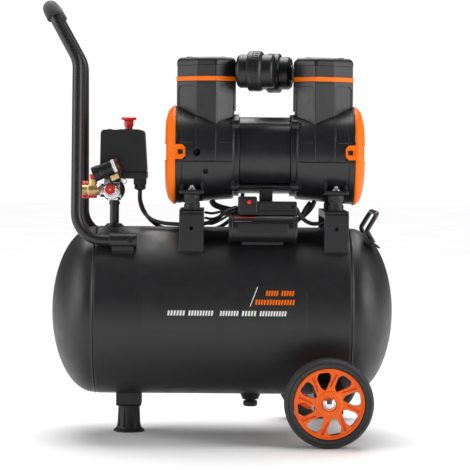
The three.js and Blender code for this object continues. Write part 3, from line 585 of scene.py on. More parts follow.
def tank_profile():
    """(radius, place along X) from the left tip to the right tip, with a weld bead at each seam."""
    depth = TANK_HALF - SEAM
    turns = [math.pi / 2 * k / END_STEPS for k in range(END_STEPS + 1)]
    end = [((TANK_RADIUS - SEAM_STEP) * math.sin(a), SEAM + depth * math.cos(a)) for a in turns]
    bead = [(TANK_RADIUS - SEAM_STEP + 1.3 * math.sin(math.pi * k / 6), SEAM - 1 - k / 2)
            for k in range(1, 7)]
    shell = [(TANK_RADIUS - 0.5, SEAM - 5.0), (TANK_RADIUS, SEAM - 6.5), (TANK_RADIUS, SEAM - 9)]
    right = end + bead + shell
    left = [(radius, -along) for radius, along in right]
    return left + right[::-1]


def tank():
    """The shell and its two ends, as one turned skin."""
    place = facing(X, TANK.middle)
    piece("tank", copied(lathe(tank_profile(), 192), place), "tank_paint",
          replaces=("tank_shell", "tank_end_left", "tank_end_right"))


def tank_height(y):
    """How high the tank's wall stands above its axis, that far from its middle plane."""
    return math.sqrt(TANK_RADIUS ** 2 - y ** 2)


def tank_space():
    """What the tank takes up, with a hair's clearance, to be cut from what stands on it."""
    return shifted(along_x(disc(TANK_RADIUS + 0.1, -300, 300, steps=192)), 0, 0, TANK.middle.z)


# ---- foot and wheels ----
SPOKES = 8
WINDOW_START = math.radians(10)
# A window's corners: degrees from the window's own middle line, and radius.
WINDOW = [(-12, 46.3), (10, 47.0), (17, 40), (17.5, 26), (6, 19.5), (-13.5, 36)]
# Each spoke's groove: degrees and radius of its two ends, and its half widths there.
GROOVE = [(33, 25, 0.8), (21.5, 45.5, 2.3)]


def polar(degrees, radius):
    return Vector((radius * math.cos(math.radians(degrees)),
                   radius * math.sin(math.radians(degrees))))


def spun(shapes, count, start=0.0):
    """Copies of some shapes set evenly round Z."""
    turns = [start + 2 * math.pi * k / count for k in range(count)]
    return merged([copied(shape, Matrix.Rotation(a, 4, "Z")) for a in turns for shape in shapes])


def rim_shape(half):
    """The wheel's disc about +Z: a lip, a shallow dish, a boss, eight windows and grooved spokes."""
    lip, floor_level, back = 51.6, half - 5.2, half - 12
    section = [(6.2, 3 - half), (12, 3 - half), (13, 4 - half), (13, back - 1), (16, back),
               (45.5, back), (47.4, back - 2), (47.6, 3 - half), (lip, 3 - half),
               (lip, half - 3.4), (50.8, half - 3), (49.0, half - 3), (48.0, half - 5),
               (45, floor_level), (19.5, floor_level + 0.4), (17.6, half - 3.4), (11.5, half - 3.1),
               (10.4, half - 4.2), (6.2, half - 4.2)]
    body = lathe(section, 144, loop=True)
    window = rounded([polar(a, r) for a, r in WINDOW], [5, 5, 7, 3.5, 2.5, 7], 4)
    windows = spun([prism(window, back - 3, half + 5)], SPOKES, WINDOW_START)
    (a0, r0, w0), (a1, r1, w1) = GROOVE
    inner, outer = polar(a0, r0), polar(a1, r1)
    side = (outer - inner).orthogonal().normalized()
    groove = rounded([inner - side * w0, outer - side * w1, outer + side * w1, inner + side * w0],
                     [0.7, 1.6, 1.6, 0.7], 3)
    grooves = spun([prism(groove, floor_level - 2.6, half + 5)], SPOKES, WINDOW_START)
    return cut(body, windows, grooves)


def tyre_shape(radius, bead, half):
    """A solid tyre about +Z, with a stepped side wall and a grooved tread."""
    side = [(bead, half - 4), (bead + 1.2, half - 1.2), (bead + 2.6, half - 0.5),
            (radius - 6.8, half), (radius - 6.2, half - 1.0), (radius - 5.4, half - 0.4),
            (radius - 2.6, half - 1.6), (radius - 0.8, half - 4.2), (radius, half - 7.5)]
    tread = []
    for middle in (half - 11, 0):
        tread += [(radius, middle + 1.4), (radius - 1.6, middle + 0.9),
                  (radius - 1.6, middle - 0.9), (radius, middle - 1.4)]
    other = [(r, -height) for r, height in (side + tread[:4])][::-1]
    return lathe(side + tread + other, 160, loop=True)


def cap_nut_shape(half, top, bore):
    """The axle bolt with its spacer, its washer and a domed cap nut with a centre dimple."""
    washer_face = half - 4 + 0.3
    dome = [(8.0 * math.cos(a), washer_face + 1.6 + (top - washer_face - 1.6) * math.sin(a))
            for a in (math.pi / 2 * k / 8 for k in range(7))]
    profile = [(0, -half - 6), (9, -half - 6), (9, 1 - half), (bore, 1 - half), (bore, washer_face),
               (8.8, washer_face), (8.8, washer_face + 1.2), (8.2, washer_face + 1.6), *dome,
               (1.5, top - 0.15), (1.2, top - 1.3), (0, top - 1.3)]
    return lathe(profile, 64)


def wheel(side, out):
    """A tyre, its rim and the bolt it turns on, facing out."""
    box = Box(f"tyre_{side}")
    place = facing(out, box.middle)
    radius, half = box.size.z / 2, box.size.y / 2
    bead = Box(f"rim_{side}").size.z / 2 + 0.3
    stand_in(f"tyre_{side}", "moulded",
             moved(tyre_shape(radius, bead, half), place), "tyre", f"wheel_{side}")
    stand_in(f"rim_{side}", "moulded", moved(rim_shape(half), place), "wheel_orange", f"wheel_{side}")
    bolt = Box(f"wheel_bolt_{side}")
    top = max(abs(bolt.low.y), abs(bolt.high.y)) - abs(box.middle.y)
    stand_in(f"wheel_bolt_{side}", "nut", moved(cap_nut_shape(half, top, 5.8), place), "chrome")


def weld(line, radius=1.3):
    """A weld bead along a line: a ripple of overlapping drops."""
    fine = []
    for a, b in zip(line, line[1:]):
        count = max(1, round((Vector(b) - Vector(a)).length / 1.0))
        fine += [Vector(a).lerp(Vector(b), k / count) for k in range(count)]
    fine.append(Vector(line[-1]))
    return tube(fine, [radius * (0.85 + 0.2 * (k % 3 == 0)) for k in range(len(fine))], 10)


def foot():
    """The rubber foot, and the steel channel that holds it under the tank."""
    box, bracket_box = Box("rubber_foot"), Box("foot_bracket")
    top, base = box.high.z, box.size.x / 2
    profile = [(0, 0), (base, 0), (base, 2.2), (base - 4.6, 5.5), (17.6, 12), (16.4, top),
               (11, top), (11, top - 6), (0, top - 6)]
    body = turned(profile, [0, 0.8, 0.9, 5, 20, 1, 1, 0, 0], 128, 5)
    flutes = spun([shifted(disc(2.6, 8, top + 4, steps=24), 18.3, 0, 0)], 10)
    stand_in("rubber_foot", "moulded",
             shifted(cut(body, flutes), box.middle.x, box.middle.y, 0), "rubber")
    x0, x1, low = bracket_box.low.x, bracket_box.high.x, bracket_box.low.z
    half, sheet = bracket_box.size.y / 2, 3
    high = TANK.middle.z - tank_height(half) + 1
    section = [(-half, high), (-half, low), (half, low), (half, high),
               (half - sheet, high), (half - sheet, low + sheet),
               (sheet - half, low + sheet), (sheet - half, high)]
    channel = prism_x(rounded(section, [0, 4, 4, 0, 0, 1.2, 1.2, 0], 4), x0, x1, 0.4, 2)
    beads = [weld([(x0 + 2, y, high - 0.8), (x1 - 2, y, high - 0.8)]) for y in (-half, half)]
    screw = shifted(disc(5, low + sheet, low + 6, 0.6, 6), box.middle.x, 0, 0)
    piece("foot_channel", [channel, *beads, screw], "steel_paint", replaces="foot_bracket")


# ---- handle and lifting loop ----
HANDLE_RADIUS = 8.2
HANDLE_LEG_X, HANDLE_LOW_Z, HANDLE_KINK_Z = -217, 295, 560
HANDLE_LOW_Y, HANDLE_KINK_Y = 82, 58
HANDLE_TOP = (-261, 50, 640)
GRIP_RADIUS = 11.75
GRIP_LOW_Z = 624  # where the grip ends on each bend
SOCKET_X = (-168, -128)


def handle_corners(side):
    """A leg's corners, from its socket up."""
    top_x, top_y, top_z = HANDLE_TOP
    return [at(SOCKET_X[1] - 2, side * HANDLE_LOW_Y, HANDLE_LOW_Z),
            at(HANDLE_LEG_X, side * HANDLE_LOW_Y, HANDLE_LOW_Z),
            at(HANDLE_LEG_X, side * HANDLE_KINK_Y, HANDLE_KINK_Z),
            at(top_x, side * top_y, top_z)]


def handle_line(steps):
    """The middle of the tube, up the front leg and down the rear one."""
    corners = handle_corners(-1) + handle_corners(1)[::-1]
    return rounded(corners, [0, 40, 45, 32, 32, 45, 40, 0], steps, closed=False)


def handle():
    """The bent tube, and the foam grip over its top, which draws in at both ends."""
    stand_in("handle_tube", "bent", tube(handle_line(10), HANDLE_RADIUS, 40), "steel_paint")
    path = [point for point in handle_line(24) if point.z > GRIP_LOW_Z]
    shares = (0, 0.1, 0.3, 0.6)
    start = [path[0].lerp(path[1], share) for share in shares]
    end = [path[-1].lerp(path[-2], share) for share in shares[::-1]]
    flare = [GRIP_RADIUS * share for share in (0.86, 0.94, 0.98, 1.0)]
    body = [GRIP_RADIUS] * (len(path) - 2)
    grip = tube(start + path[1:-1] + end, flare + body + flare[::-1], 48)
    stand_in("handle_grip", "foam", grip, "foam_grip")
    handle_socket("front", -HANDLE_LOW_Y, -1)
    handle_socket("rear", HANDLE_LOW_Y, 1)


def handle_socket(name, y, out):
    """A sleeve on a saddle that is welded to the tank, with the screw that clamps the leg."""
    x0, x1 = SOCKET_X
    sleeve = merged([washer(HANDLE_RADIUS + 2.6, HANDLE_RADIUS + 0.1, x0, x1, 0.7),
                     disc(HANDLE_RADIUS, x1 - 6, x1 - 3, 0.8)])
    sleeve = put(along_x(sleeve), 0, y, HANDLE_LOW_Z)
    saddle = block(at(x0 + 4, y - 6, 255), at(x1 - 4, y + 6, HANDLE_LOW_Z - 8), 1)
    edge_y = y + out * 6
    foot_z = TANK.middle.z + tank_height(edge_y)
    bead = weld([at(x0 + 4, edge_y, foot_z), at(x1 - 4, edge_y, foot_z)], 1.8)
    screw = merged([disc(5, 0, 3.4, 0.6, 6), disc(3.2, -4, 3.6)])
    screw = pointed(screw, (0, out, 0.2), *at(x1 - 9, y + out * 10.2, HANDLE_LOW_Z + 1))
    stand_in(f"handle_socket_{name}", "sleeve", [sleeve, saddle, bead], "steel_paint")
    piece(f"handle_socket_{name}_screw", screw, "steel_paint")


LOOP_LEG = [(225, 293), (214.5, 311), (230, 337)]
LOOP_Y, LOOP_ROD = 58, 3.5
LOOP_PLATE_X, LOOP_PLATE_Z = 223, 293.5
LOOP_PLATE_TILT = math.radians(36)


def lifting_loop():
    """A bent rod whose ends stand on two small plates, joined by a strap."""
    front, rear = ([at(x, y, z) for x, z in LOOP_LEG] for y in (-LOOP_Y, LOOP_Y))
    rod = tube(rounded(front + rear[::-1], [0, 6, 12, 12, 6, 0], 8, closed=False), LOOP_ROD, 24)
    tilt = Matrix.Rotation(LOOP_PLATE_TILT, 4, "Y")
    feet = []
    for y in (-LOOP_Y, LOOP_Y):
        plate = moved(block((-13, -9, -1.6), (13, 9, 1.6), 1), tilt)
        bolt = shifted(moved(disc(5.2, 0, 4, 0.8, 6), tilt), -4, 0, 0)
        feet.append(put(merged([plate, bolt]), LOOP_PLATE_X, y, LOOP_PLATE_Z))
    strap = moved(block((-2, -LOOP_Y, -1.6), (2, LOOP_Y, 1.6), 0.8), tilt)
    strap = put(strap, LOOP_PLATE_X, 0, LOOP_PLATE_Z)
    stand_in("lifting_loop", "rod", [rod, *feet, strap], "steel_paint")


# ---- pump: shapes are drawn for the left side, measured from the middle of the motor ----
PUMP_X, PUMP_Z = 62, 422
PUMP = at(PUMP_X, 0, PUMP_Z)
SIDES = {"left": 1, "right": -1}  # which way a shape drawn for the left side is turned
CYLINDER_X, COLUMN_HALF = 88.7, 44.5
RIB_HALF = 14.5  # of the flat rib down the column's front and rear
CASE_INNER, CASE_OUTER = 46.5, 133.5
CASE_RADIUS = (66, 73.5)  # at the motor end and at the fan end
COLUMN_TOP, PLATE_TOP, CAP_LOW, HEAD_TOP = 111, 118, 135, 147
BRACKET_X = {"left": -47, "right": 168}
COVER_RADIUS, COVER_DEPTH = 74.7, 15.5
TIE_RODS = [(across, up) for across in (-46, 46) for up in (-46, 46)]
COLUMN_FRONT = [(-COLUMN_HALF, -12), (-RIB_HALF, -39), (RIB_HALF, -50), (COLUMN_HALF, -28)]


def on_side(shapes, name):
    """Left-side shapes taken to their place on one side."""
    mirror = Matrix.Diagonal((SIDES[name], 1, 1, 1))
    return moved(merged(shapes), Matrix.Translation(PUMP) @ mirror)


def along_x(shape):
    """Takes a shape drawn along +Z to lie along +X."""
    return moved(shape, facing(X))


def grown(outline, distance):
    """An outline with each side moved out by the same distance."""
    corners = [Vector(p) for p in outline]
    count = len(corners)
    moved_out = []
    for i, corner in enumerate(corners):
        before = (corner - corners[i - 1]).normalized()
        after = (corners[(i + 1) % count] - corner).normalized()
        bisector = (before + after).normalized()
        out = Vector((bisector.y, -bisector.x))
        sine = before.x * out.y - before.y * out.x
        moved_out.append(corner + out * (distance / abs(sine)))
    return moved_out


def column_plan(grow):
    """The column's eight-sided outline, grown by a distance."""
    rear = [(x, -y) for x, y in COLUMN_FRONT][::-1]
    return grown(COLUMN_FRONT + rear, grow)


def column(grow, low, high, *edge):
    """A stretch of the column, between two heights."""
    plan = rounded(column_plan(grow), 1.6, 4)
    return shifted(prism(plan, low, high, *edge), -CYLINDER_X, 0, 0)


def drum_radius(x):
    """The drum widens evenly from the motor out to the fan."""
    share = (-x - CASE_INNER) / (CASE_OUTER - CASE_INNER)
    return CASE_RADIUS[0] + share * (CASE_RADIUS[1] - CASE_RADIUS[0])


def drum():
    inner, outer = CASE_RADIUS
    corners = [(0, -CASE_OUTER), (outer, -CASE_OUTER), (inner, -CASE_INNER), (0, -CASE_INNER)]
    return along_x(turned(corners, [0, 1.2, 3, 0], 144, 5))


def drum_skin(under, over):
    """The layer between two heights above the drum's surface."""
    profile = [(drum_radius(x) + under, x) for x in (-134, -45)]
    profile += [(drum_radius(x) + over, x) for x in (-45, -134)]
    return along_x(lathe(profile, 144, loop=True))


def drum_band(x0, x1, proud, low, high):
    """A raised strip that follows the drum's curve, between two heights, at the front and the rear."""
    profile = [(50, x0), (drum_radius(x0) + proud, x0), (drum_radius(x1) + proud, x1), (50, x1)]
    ring = along_x(lathe(profile, 144, loop=True))
    return common(ring, block((x0 - 5, -90, low), (x1 + 5, 90, high)))


def column_panels():
    """Shallow recesses in the facets beside the column's front and rear ribs."""
    pockets = []
    for facet in (COLUMN_FRONT[:2], COLUMN_FRONT[2:]):
        start, end = (Vector((*corner, 0)) for corner in facet)
        run = end - start
        width = run.length / 2 - 3.5
        outline = rounded([(-width, 19), (width, 19), (width, 104), (-width, 104)], 5, 5)
        for mirror in (1, -1):
            out = Vector((run.y, -run.x, 0)).normalized()
            middle = (start + end) / 2
            out, middle = (Vector((v.x, v.y * mirror, 0)) for v in (out, middle))
            pocket = prism(outline, -1.1, 30)
            pockets.append(moved(pocket, facing(out, middle - Vector((CYLINDER_X, 0, 0)))))
    return pockets


def drum_panels():
    """The lower parts of the column's recesses, which run down over the drum: upturned arches."""
    pockets = []
    for x0, x1, high in ((-43, -16.5, 80), (16.5, 40, 68)):
        outline = arch(x0 - CYLINDER_X, x1 - CYLINDER_X, high, 19, 6)
        pockets.append(common(prism_y(outline, -90, 90), drum_skin(-0.9, 20)))
    return pockets


def crankcase_shape(name):
    """A drum with a cylinder column on it, hollow, with a rib, panels, grooves and a parting line."""
    over_motor = block((-CASE_INNER, -60, 0), (5, 60, CASE_RADIUS[0] + 1))
    tower = cut(column(0, 10, COLUMN_TOP), over_motor, *column_panels())
    rib = [(-RIB_HALF, -39.9), (RIB_HALF, -50.9), (RIB_HALF, 50.9), (-RIB_HALF, 39.9)]
    rib = shifted(prism(rib, 30, COLUMN_TOP - 3), -CYLINDER_X, 0, 0)
    band = drum_band(-CYLINDER_X - RIB_HALF, -CYLINDER_X + RIB_HALF, 0.9, -8.2, 60)
    ports = []
    if name == "left":
        ports = [pointed(disc(radius, 45, 90, steps=40), -Y, x, 0, z)
                 for radius, x, z in ((5.6, -102, 4), (3.8, -88.5, -24))]
    rim_groove = along_x(washer(90, drum_radius(-124) - 1.0, -125, -123.6))
    parting = common(drum_skin(-0.9, 9), block((-140, -90, -9.6), (-40, 90, -8.4)))
    barrel = cut(drum(), *ports)
    barrel = cut(barrel, rim_groove, parting)
    barrel = cut(barrel, *drum_panels())
    shell = joined(barrel, tower, rib, cut(band, *ports))
    cavity = along_x(lathe([(0, -CASE_OUTER - 1), (CASE_RADIUS[1] - 8, -CASE_OUTER - 1),
                            (CASE_RADIUS[0] - 6, -CASE_INNER - 4), (0, -CASE_INNER - 4)], 64))
    bore = shifted(disc(26, 0, COLUMN_TOP + 5), -CYLINDER_X, 0, 0)
    shaft = along_x(disc(8, -60, 0))
    seats = [block((-CASE_OUTER - 1, y0, -6.3), (-CASE_OUTER + 14.8, y1, 16.3))
             for y0, y1 in ((-90, -68.7), (68.7, 90))]
    return cut(shell, cavity, bore, shaft, *seats)


def motor_end_shape():
    """The end shield that the drum bolts to, its four ears and the webs out to them."""
    low, high = -CASE_INNER - 0.4, -38.6
    plate = along_x(washer(62, 31, low, high, 0.8, 96))
    ears = []
    for across, up in TIE_RODS:
        ears.append(shifted(along_x(disc(8, low - 3, high, 0.8)), 0, across, up))
        web = block((low, -6.5, 40), (high, 6.5, math.hypot(across, up)), 0.6)
        ears.append(moved(web, Matrix.Rotation(math.atan2(-across, up), 4, "X")))
    return [plate, *ears]


def foot_shape(name):
    """The foot that carries the crankcase on its two mounts, with two gussets up to the drum."""
    x, low = SIDES[name] * (BRACKET_X[name] - PUMP_X), 364.5 - PUMP_Z
    base = block((x - 18, -74, low), (x + 18, 74, low + 6), 1.5)
    gussets = []
    for gusset_x in (x - 15, x + 15):
        outline = rounded([(-58, low), (58, low), (56, -36), (-56, -36)], [2, 2, 4, 4], 4)
        bore = along_x(disc(min(CASE_RADIUS) - 6, -CASE_OUTER - 5, -CASE_INNER - 4))
        gussets.append(cut(prism_x(outline, gusset_x - 2, gusset_x + 2, 0.5, 2), bore))
    return [base, *gussets]


def fan_cover_shape():
    """A dished cover with eight slots and a channel across it, and its two clips."""
    outer = [(0, COVER_DEPTH), (52, COVER_DEPTH), (67, COVER_DEPTH - 4), (COVER_RADIUS, 4),
             (COVER_RADIUS, 0)]
    inner = [(COVER_RADIUS - 2.6, 0), (COVER_RADIUS - 2.6, 3.4), (65, 9), (51, COVER_DEPTH - 2.6),
             (0, COVER_DEPTH - 2.6)]
    dish = turned(outer + inner, [0, 8, 10, 5, 0.8, 0.6, 2, 4, 4, 0], 160, 5)
    slot = rounded([(22, -3.2), (50, -3.2), (50, 3.2), (22, 3.2)], 3, 5)
    slots = spun([prism(slot, 5, 30)], 8, math.pi / 8)
    centre = [washer(16.5, 15, COVER_DEPTH - 0.8, COVER_DEPTH + 5), washer(60.5, 59.5, 8, 30)]
    channel = block((-8, -90, COVER_DEPTH - 1.6), (16, 90, COVER_DEPTH + 5), 1)
    ribs = [block((z - 0.9, -44, COVER_DEPTH - 1), (z + 0.9, 44, COVER_DEPTH + 1.1), 0.5)
            for z in (-9.2, 17.2)]
    shell = merged([cut(dish, slots, *centre, channel), *[cut(rib, slots) for rib in ribs]])
    turn = Matrix.Translation((-CASE_OUTER - 0.3, 0, 0)) @ Matrix.Rotation(-math.pi / 2, 4, "Y")
    parts = [moved(shell, turn)]
    for y in ((-73.6, -69), (69, 73.6)):
        outline = [(-3.3, 16), (10, 16), (14.5, 11), (14.5, -1), (10, -6), (-3.3, -6)]
        outline = rounded([(x - CASE_OUTER, z) for x, z in outline], [0, 2, 2, 2, 2, 0], 3)
        clip = prism_y(outline, *y, 0.6, 2)
        catch = block((-130, -100, 1.5), (-122.5, 100, 8.5), 0.6)
        inner_rim = block((-130.9, -101, 0.6), (-121.6, 101, 9.4))
        inner_face = block((-135, -73.1, -20), (-115, 73.1, 20))
        groove = cut(block((-131.5, -100, 0), (-121, 100, 10)), inner_rim, inner_face)
        parts.append(cut(clip, catch, groove))
    return parts


def domed(low, high, rounding):
    """A block on the column's plan whose top edge is rounded over."""
    turns = [math.pi / 2 * k / 7 for k in range(8)]
    levels = [(0, low)] + [(rounding * (math.cos(a) - 1), high - rounding * (1 - math.sin(a)))
                           for a in turns]
    shape = bmesh.new()
    rings = [[shape.verts.new((p.x - CYLINDER_X, p.y, z))
              for p in rounded(column_plan(grow), 7, 6)] for grow, z in levels]
    return skinned(shape, rings)


def head_shapes():
    """A cylinder head: its body, a groove and a domed cap with four screws."""
    lower = shifted(prism(rounded(column_plan(-0.5), 3, 5), PLATE_TOP + 0.3, CAP_LOW - 0.5),
                    -CYLINDER_X, 0, 0)
    neck = shifted(prism(rounded(column_plan(-1.5), 3, 5), CAP_LOW - 1, CAP_LOW + 1), -CYLINDER_X, 0, 0)
    cap = domed(CAP_LOW, HEAD_TOP, 8.0)
    screw = merged([washer(5.5, 3.9, HEAD_TOP - 0.4, HEAD_TOP + 0.5, 0.3, 32),
                    disc(3.7, HEAD_TOP - 0.5, HEAD_TOP + 0.9, 0.5, 6)])
    screws = [copied(screw, Matrix.Translation((x - CYLINDER_X, y, 0)))
              for x, y in ((-25, -15), (-25, 15), (24, -24), (24, 24))]
    return [lower, neck, cap, *screws]


FILTER_TURN = math.radians(10)


def filter_shape():
    """An intake filter along +X: a neck, a round body and a snap-on cap with air slots."""
    profile = [(0, 0), (12, 0), (12, 2), (22, 2), (25, 6), (25, 18.6), (28.5, 18.6), (30, 20.2), (30, 26.6),
               (29.3, 27), (29.3, 27.8), (30, 28.2), (30, 37), (27.5, 40), (25, 40.4), (25, 54.5),
               (23, 57), (19, 57), (17.5, 56), (0, 56)]
    radii = [0, 0, 1, 1, 3, 0.6, 0.8, 1, 0.2, 0.2, 0.2, 0.2, 2, 1.5, 0.8, 2, 1.2, 0.5, 0.5, 0]
    body = turned(profile, radii, 96)
    slots = spun([block((28.9, -1.0, 30), (32, 1.0, 35.5), 0.3)], 36)
    return along_x(cut(body, slots))


def pump():
    """The two halves of the pump. The intake filters lean past each other between the columns."""
    inner_face = COLUMN_HALF + 0.9 - CYLINDER_X
    passages = [shifted(disc(7, 0, 200), dx - CYLINDER_X, 0, 0) for dx in (-12, 12)]
    plate = cut(column(0.6, COLUMN_TOP + 0.3, PLATE_TOP, 0.7, 2), *passages)
    for name, side in SIDES.items():
        turn = Matrix.Rotation(-side * FILTER_TURN, 4, "Z")
        place = Matrix.Translation((inner_face, -29 * side, 548 - PUMP_Z))
        case = [crankcase_shape(name), *motor_end_shape(), *foot_shape(name)]
        for node, ending, shapes, finish in (
                ("crankcase", "cast", case, "casing"),
                ("valve_plate", "gasket", [plate], "orange_plastic"),
                ("cylinder_head", "cap", head_shapes(), "black_plastic"),
                ("fan_cover", "moulded", fan_cover_shape(), "orange_plastic"),
                ("intake_filter", "ribbed", [moved(filter_shape(), place @ turn)], "black_plastic")):
            stand_in(f"{node}_{name}", ending, on_side(shapes, name), finish)


def motor():
    """The stator's ribbed core, and the four tie rods with a nut at each end."""
    grooves = []
    for k in range(30):
        x = -36 + 2.4 * k
        grooves += [(58, x), (57.8, x + 0.4), (57.8, x + 1.2), (58, x + 1.6)]
    profile = [(34.6, -38.3), (57.4, -38.3), (58, -37.7), *grooves,
               (58, 37.7), (57.4, 38.3), (34.6, 38.3)]
    core = moved(along_x(lathe(profile, 120, loop=True)), Matrix.Translation(PUMP))
    piece("motor_core", core, "casing", replaces="motor_stator")
    rod = [disc(2.4, -53, 53, 0.5, 24)]
    rod += [disc(4.3, end - 1.8, end + 1.8, 0.5, 6) for end in (-52, 52)]
    rods = merged([shifted(along_x(merged(rod)), 0, across, up) for across, up in TIE_RODS])
    piece("tie_rods", moved(rods, Matrix.Translation(PUMP)), "steel_paint")


# ---- brackets and mounts ----
def bracket(name):
    """A folded sheet bracket across the tank, open below, with its flanges welded down."""
    x, half, depth, top = BRACKET_X[name], 18, 87, 340
    outer = prism_x(arch(-depth, depth, 255, top, 7), x - half, x + half, 1.6)
    channel = prism_x(arch(3 - depth, depth - 3, 200, top - 3, 4), x - half + 3, x + half - 3)
    window = prism_x(arch(10 - depth, depth - 10, 200, top - 10, 5), x - half - 1, x + half + 1)
    hole = pointed(disc(3, 60, 100, steps=32), -Y, x, 0, 314)
    sheet = put(cut(outer, channel, window, hole, tank_space()), 0, 0, 0)
    beads = []
    for side in (-1, 1):
        y, foot_z = side * (depth + 0.4), TANK.middle.z + tank_height(depth) - 0.3
        beads.append(weld([at(x - half + 3, y, foot_z), at(x + half - 3, y, foot_z)], 1.5))
        for edge in (0.5 - half, half - 0.5):
            along = [at(x + edge, side * d, TANK.middle.z + tank_height(d) + 0.3)
                     for d in (78, 81, 84, 86.5)]
            beads.append(weld(along, 1.2))
    stand_in(f"pump_bracket_{name}", "folded", [sheet, *beads], "steel_paint")
    mount(f"{name}_front", x, -60)
    mount(f"{name}_rear", x, 60)


def mount(name, x, y):
    """A waisted rubber mount, and the bolt that stands out above the pump's foot."""
    low, high, radius = 340.3, 364.2, 11.5
    profile = [(0, low), (radius, low), (radius, low + 7), (radius - 2, 352), (radius, high - 7),
               (radius, high), (0, high)]
    body = turned(profile, [0, 1, 3, 6, 3, 1, 0], 64, 4)
    stand_in(f"rubber_mount_{name}", "turned", put(body, x, y, 0), "rubber")
    bolt = [washer(6.5, 3.1, 370.6, 371.8, 0.3, 40), disc(4.6, 371.8, 375, 0.6, 6),
            disc(2.6, 370.6, 377, 0.5, 24)]
    piece(f"mount_bolt_{name}", put(merged(bolt), x, y, 0), "bright_steel")


# ---- capacitor and terminal box ----
CAN_X, CAN_Y, CAN_Z, CAN_RADIUS = (8, 110), -78, 315, 22
CAN_RIM = 1.0  # how far the housing's two end rims stand proud
BUTTON_X, BUTTON_Z = 38, 353


def capacitor_housing():
    """The capacitor's round housing with its clamp band, its foot and two printed lines."""
    x0, x1 = CAN_X
    profile = [(0, x0), (CAN_RADIUS, x0), (CAN_RADIUS, x0 + 5), (CAN_RADIUS - CAN_RIM, x0 + 6),
               (CAN_RADIUS - CAN_RIM, x1 - 6), (CAN_RADIUS, x1 - 5), (CAN_RADIUS, x1), (0, x1)]
    shell = along_x(turned(profile, [0, 2.5, 0.5, 0.5, 0.5, 0.5, 2.5, 0], 96, 4))
    inside = along_x(disc(CAN_RADIUS - 3, x0 + 2.5, x1 - 2.5))
    band = block((x0 + 14, -CAN_RADIUS - 0.3, -7), (x1 - 14, -CAN_RADIUS + 4, 7), 1)
    slot = block((x0 + 2.5, 12, -9), (x1 - 2.5, 30, 9))
    shell = joined(cut(shell, inside, slot), band)
    foot = block((x0 + 20, 4, -CAN_RADIUS - 12), (x1 - 20, 14, -CAN_RADIUS + 5), 1)
    foot = cut(foot, shifted(tank_space(), 0, -CAN_Y, -CAN_Z))
    stand_in("capacitor_housing", "moulded",
             put(merged([shell, foot]), 0, CAN_Y, CAN_Z), "black_plastic")
    for name, height, end, finish in (("red", 15.7, 49, "red_plastic"), ("grey", 10, 42, "steel_mark")):
        depth = math.sqrt((CAN_RADIUS - CAN_RIM) ** 2 - height ** 2)
        line = tube([at(x, CAN_Y - depth, CAN_Z + height) for x in (x0 + 7, end)], 0.5, 12)
        piece(f"housing_line_{name}", line, finish)


def terminal_box():
    """A two-step box that stands on the capacitor's housing, with its reset button."""
    low = CAN_Z + CAN_RADIUS + 0.3
    tall = block((22, -89, low), (50, -57, 361), 2)
    wide = block((49, -85, low), (109, -58, 354), 1.8)
    hollows = [block((24.5, -86.5, low - 5), (47.5, -59.5, 358.5)),
               block((47, -82.5, low - 5), (106.5, -60.5, 351.5))]
    button_hole = pointed(disc(3.5, 80, 95), -Y, BUTTON_X, 0, BUTTON_Z)
    vent = pointed(disc(1.6, 80, 95), -Y, 103, 0, 347)
    skirt = block((22.4, -88, low - 9), (108.6, -80, low + 3), 1)
    box = cut(joined(tall, wide, skirt), *hollows, button_hole, vent,
              shifted(along_x(disc(CAN_RADIUS + 0.15, 0, 120)), 0, CAN_Y, CAN_Z))
    collar = pointed(washer(6.2, 4.4, 88.6, 90.2, 0.5), -Y, BUTTON_X, 0, BUTTON_Z)
    hanger = block((54, -62, low + 4), (74, -40, 351), 0.8)
    strap = block((54, -44, low + 4), (74, -40, 373), 0.8)
    rib = block((54, -86.2, low + 1), (55.6, -84, 352), 0.4)
    stand_in("terminal_box", "moulded",
             put(merged([box, collar, hanger, strap, rib]), 0, 0, 0), "black_plastic")
    profile = [(0, 83), (4.3, 83), (4.3, 85.8), (3.1, 85.8), (3.1, 92), (2.6, 93), (0, 93)]
    button = turned(profile, [0, 0, 0, 0, 0.8, 0.8, 0], 48)
    stand_in("reset_button", "cap",
             pointed(button, -Y, *at(BUTTON_X, 0, BUTTON_Z)), "red_plastic", "reset_button")


# ---- pressure switch and fittings ----
RISER_X = -165
SWITCH_Y, SWITCH_KNOB_X, GLAND_X = 4, -144, -126.5
OUTLET_Z, COUPLER_Y, COCK_Y = 368, 4, -22
VALVE_X, VALVE_Z = -170, 369
REGULATOR_TILT = math.radians(23)
SAFETY_VALVE = (-150.4, 0, 381)
GAUGE = (-168, 0, 367)
DRAIN_X = 44


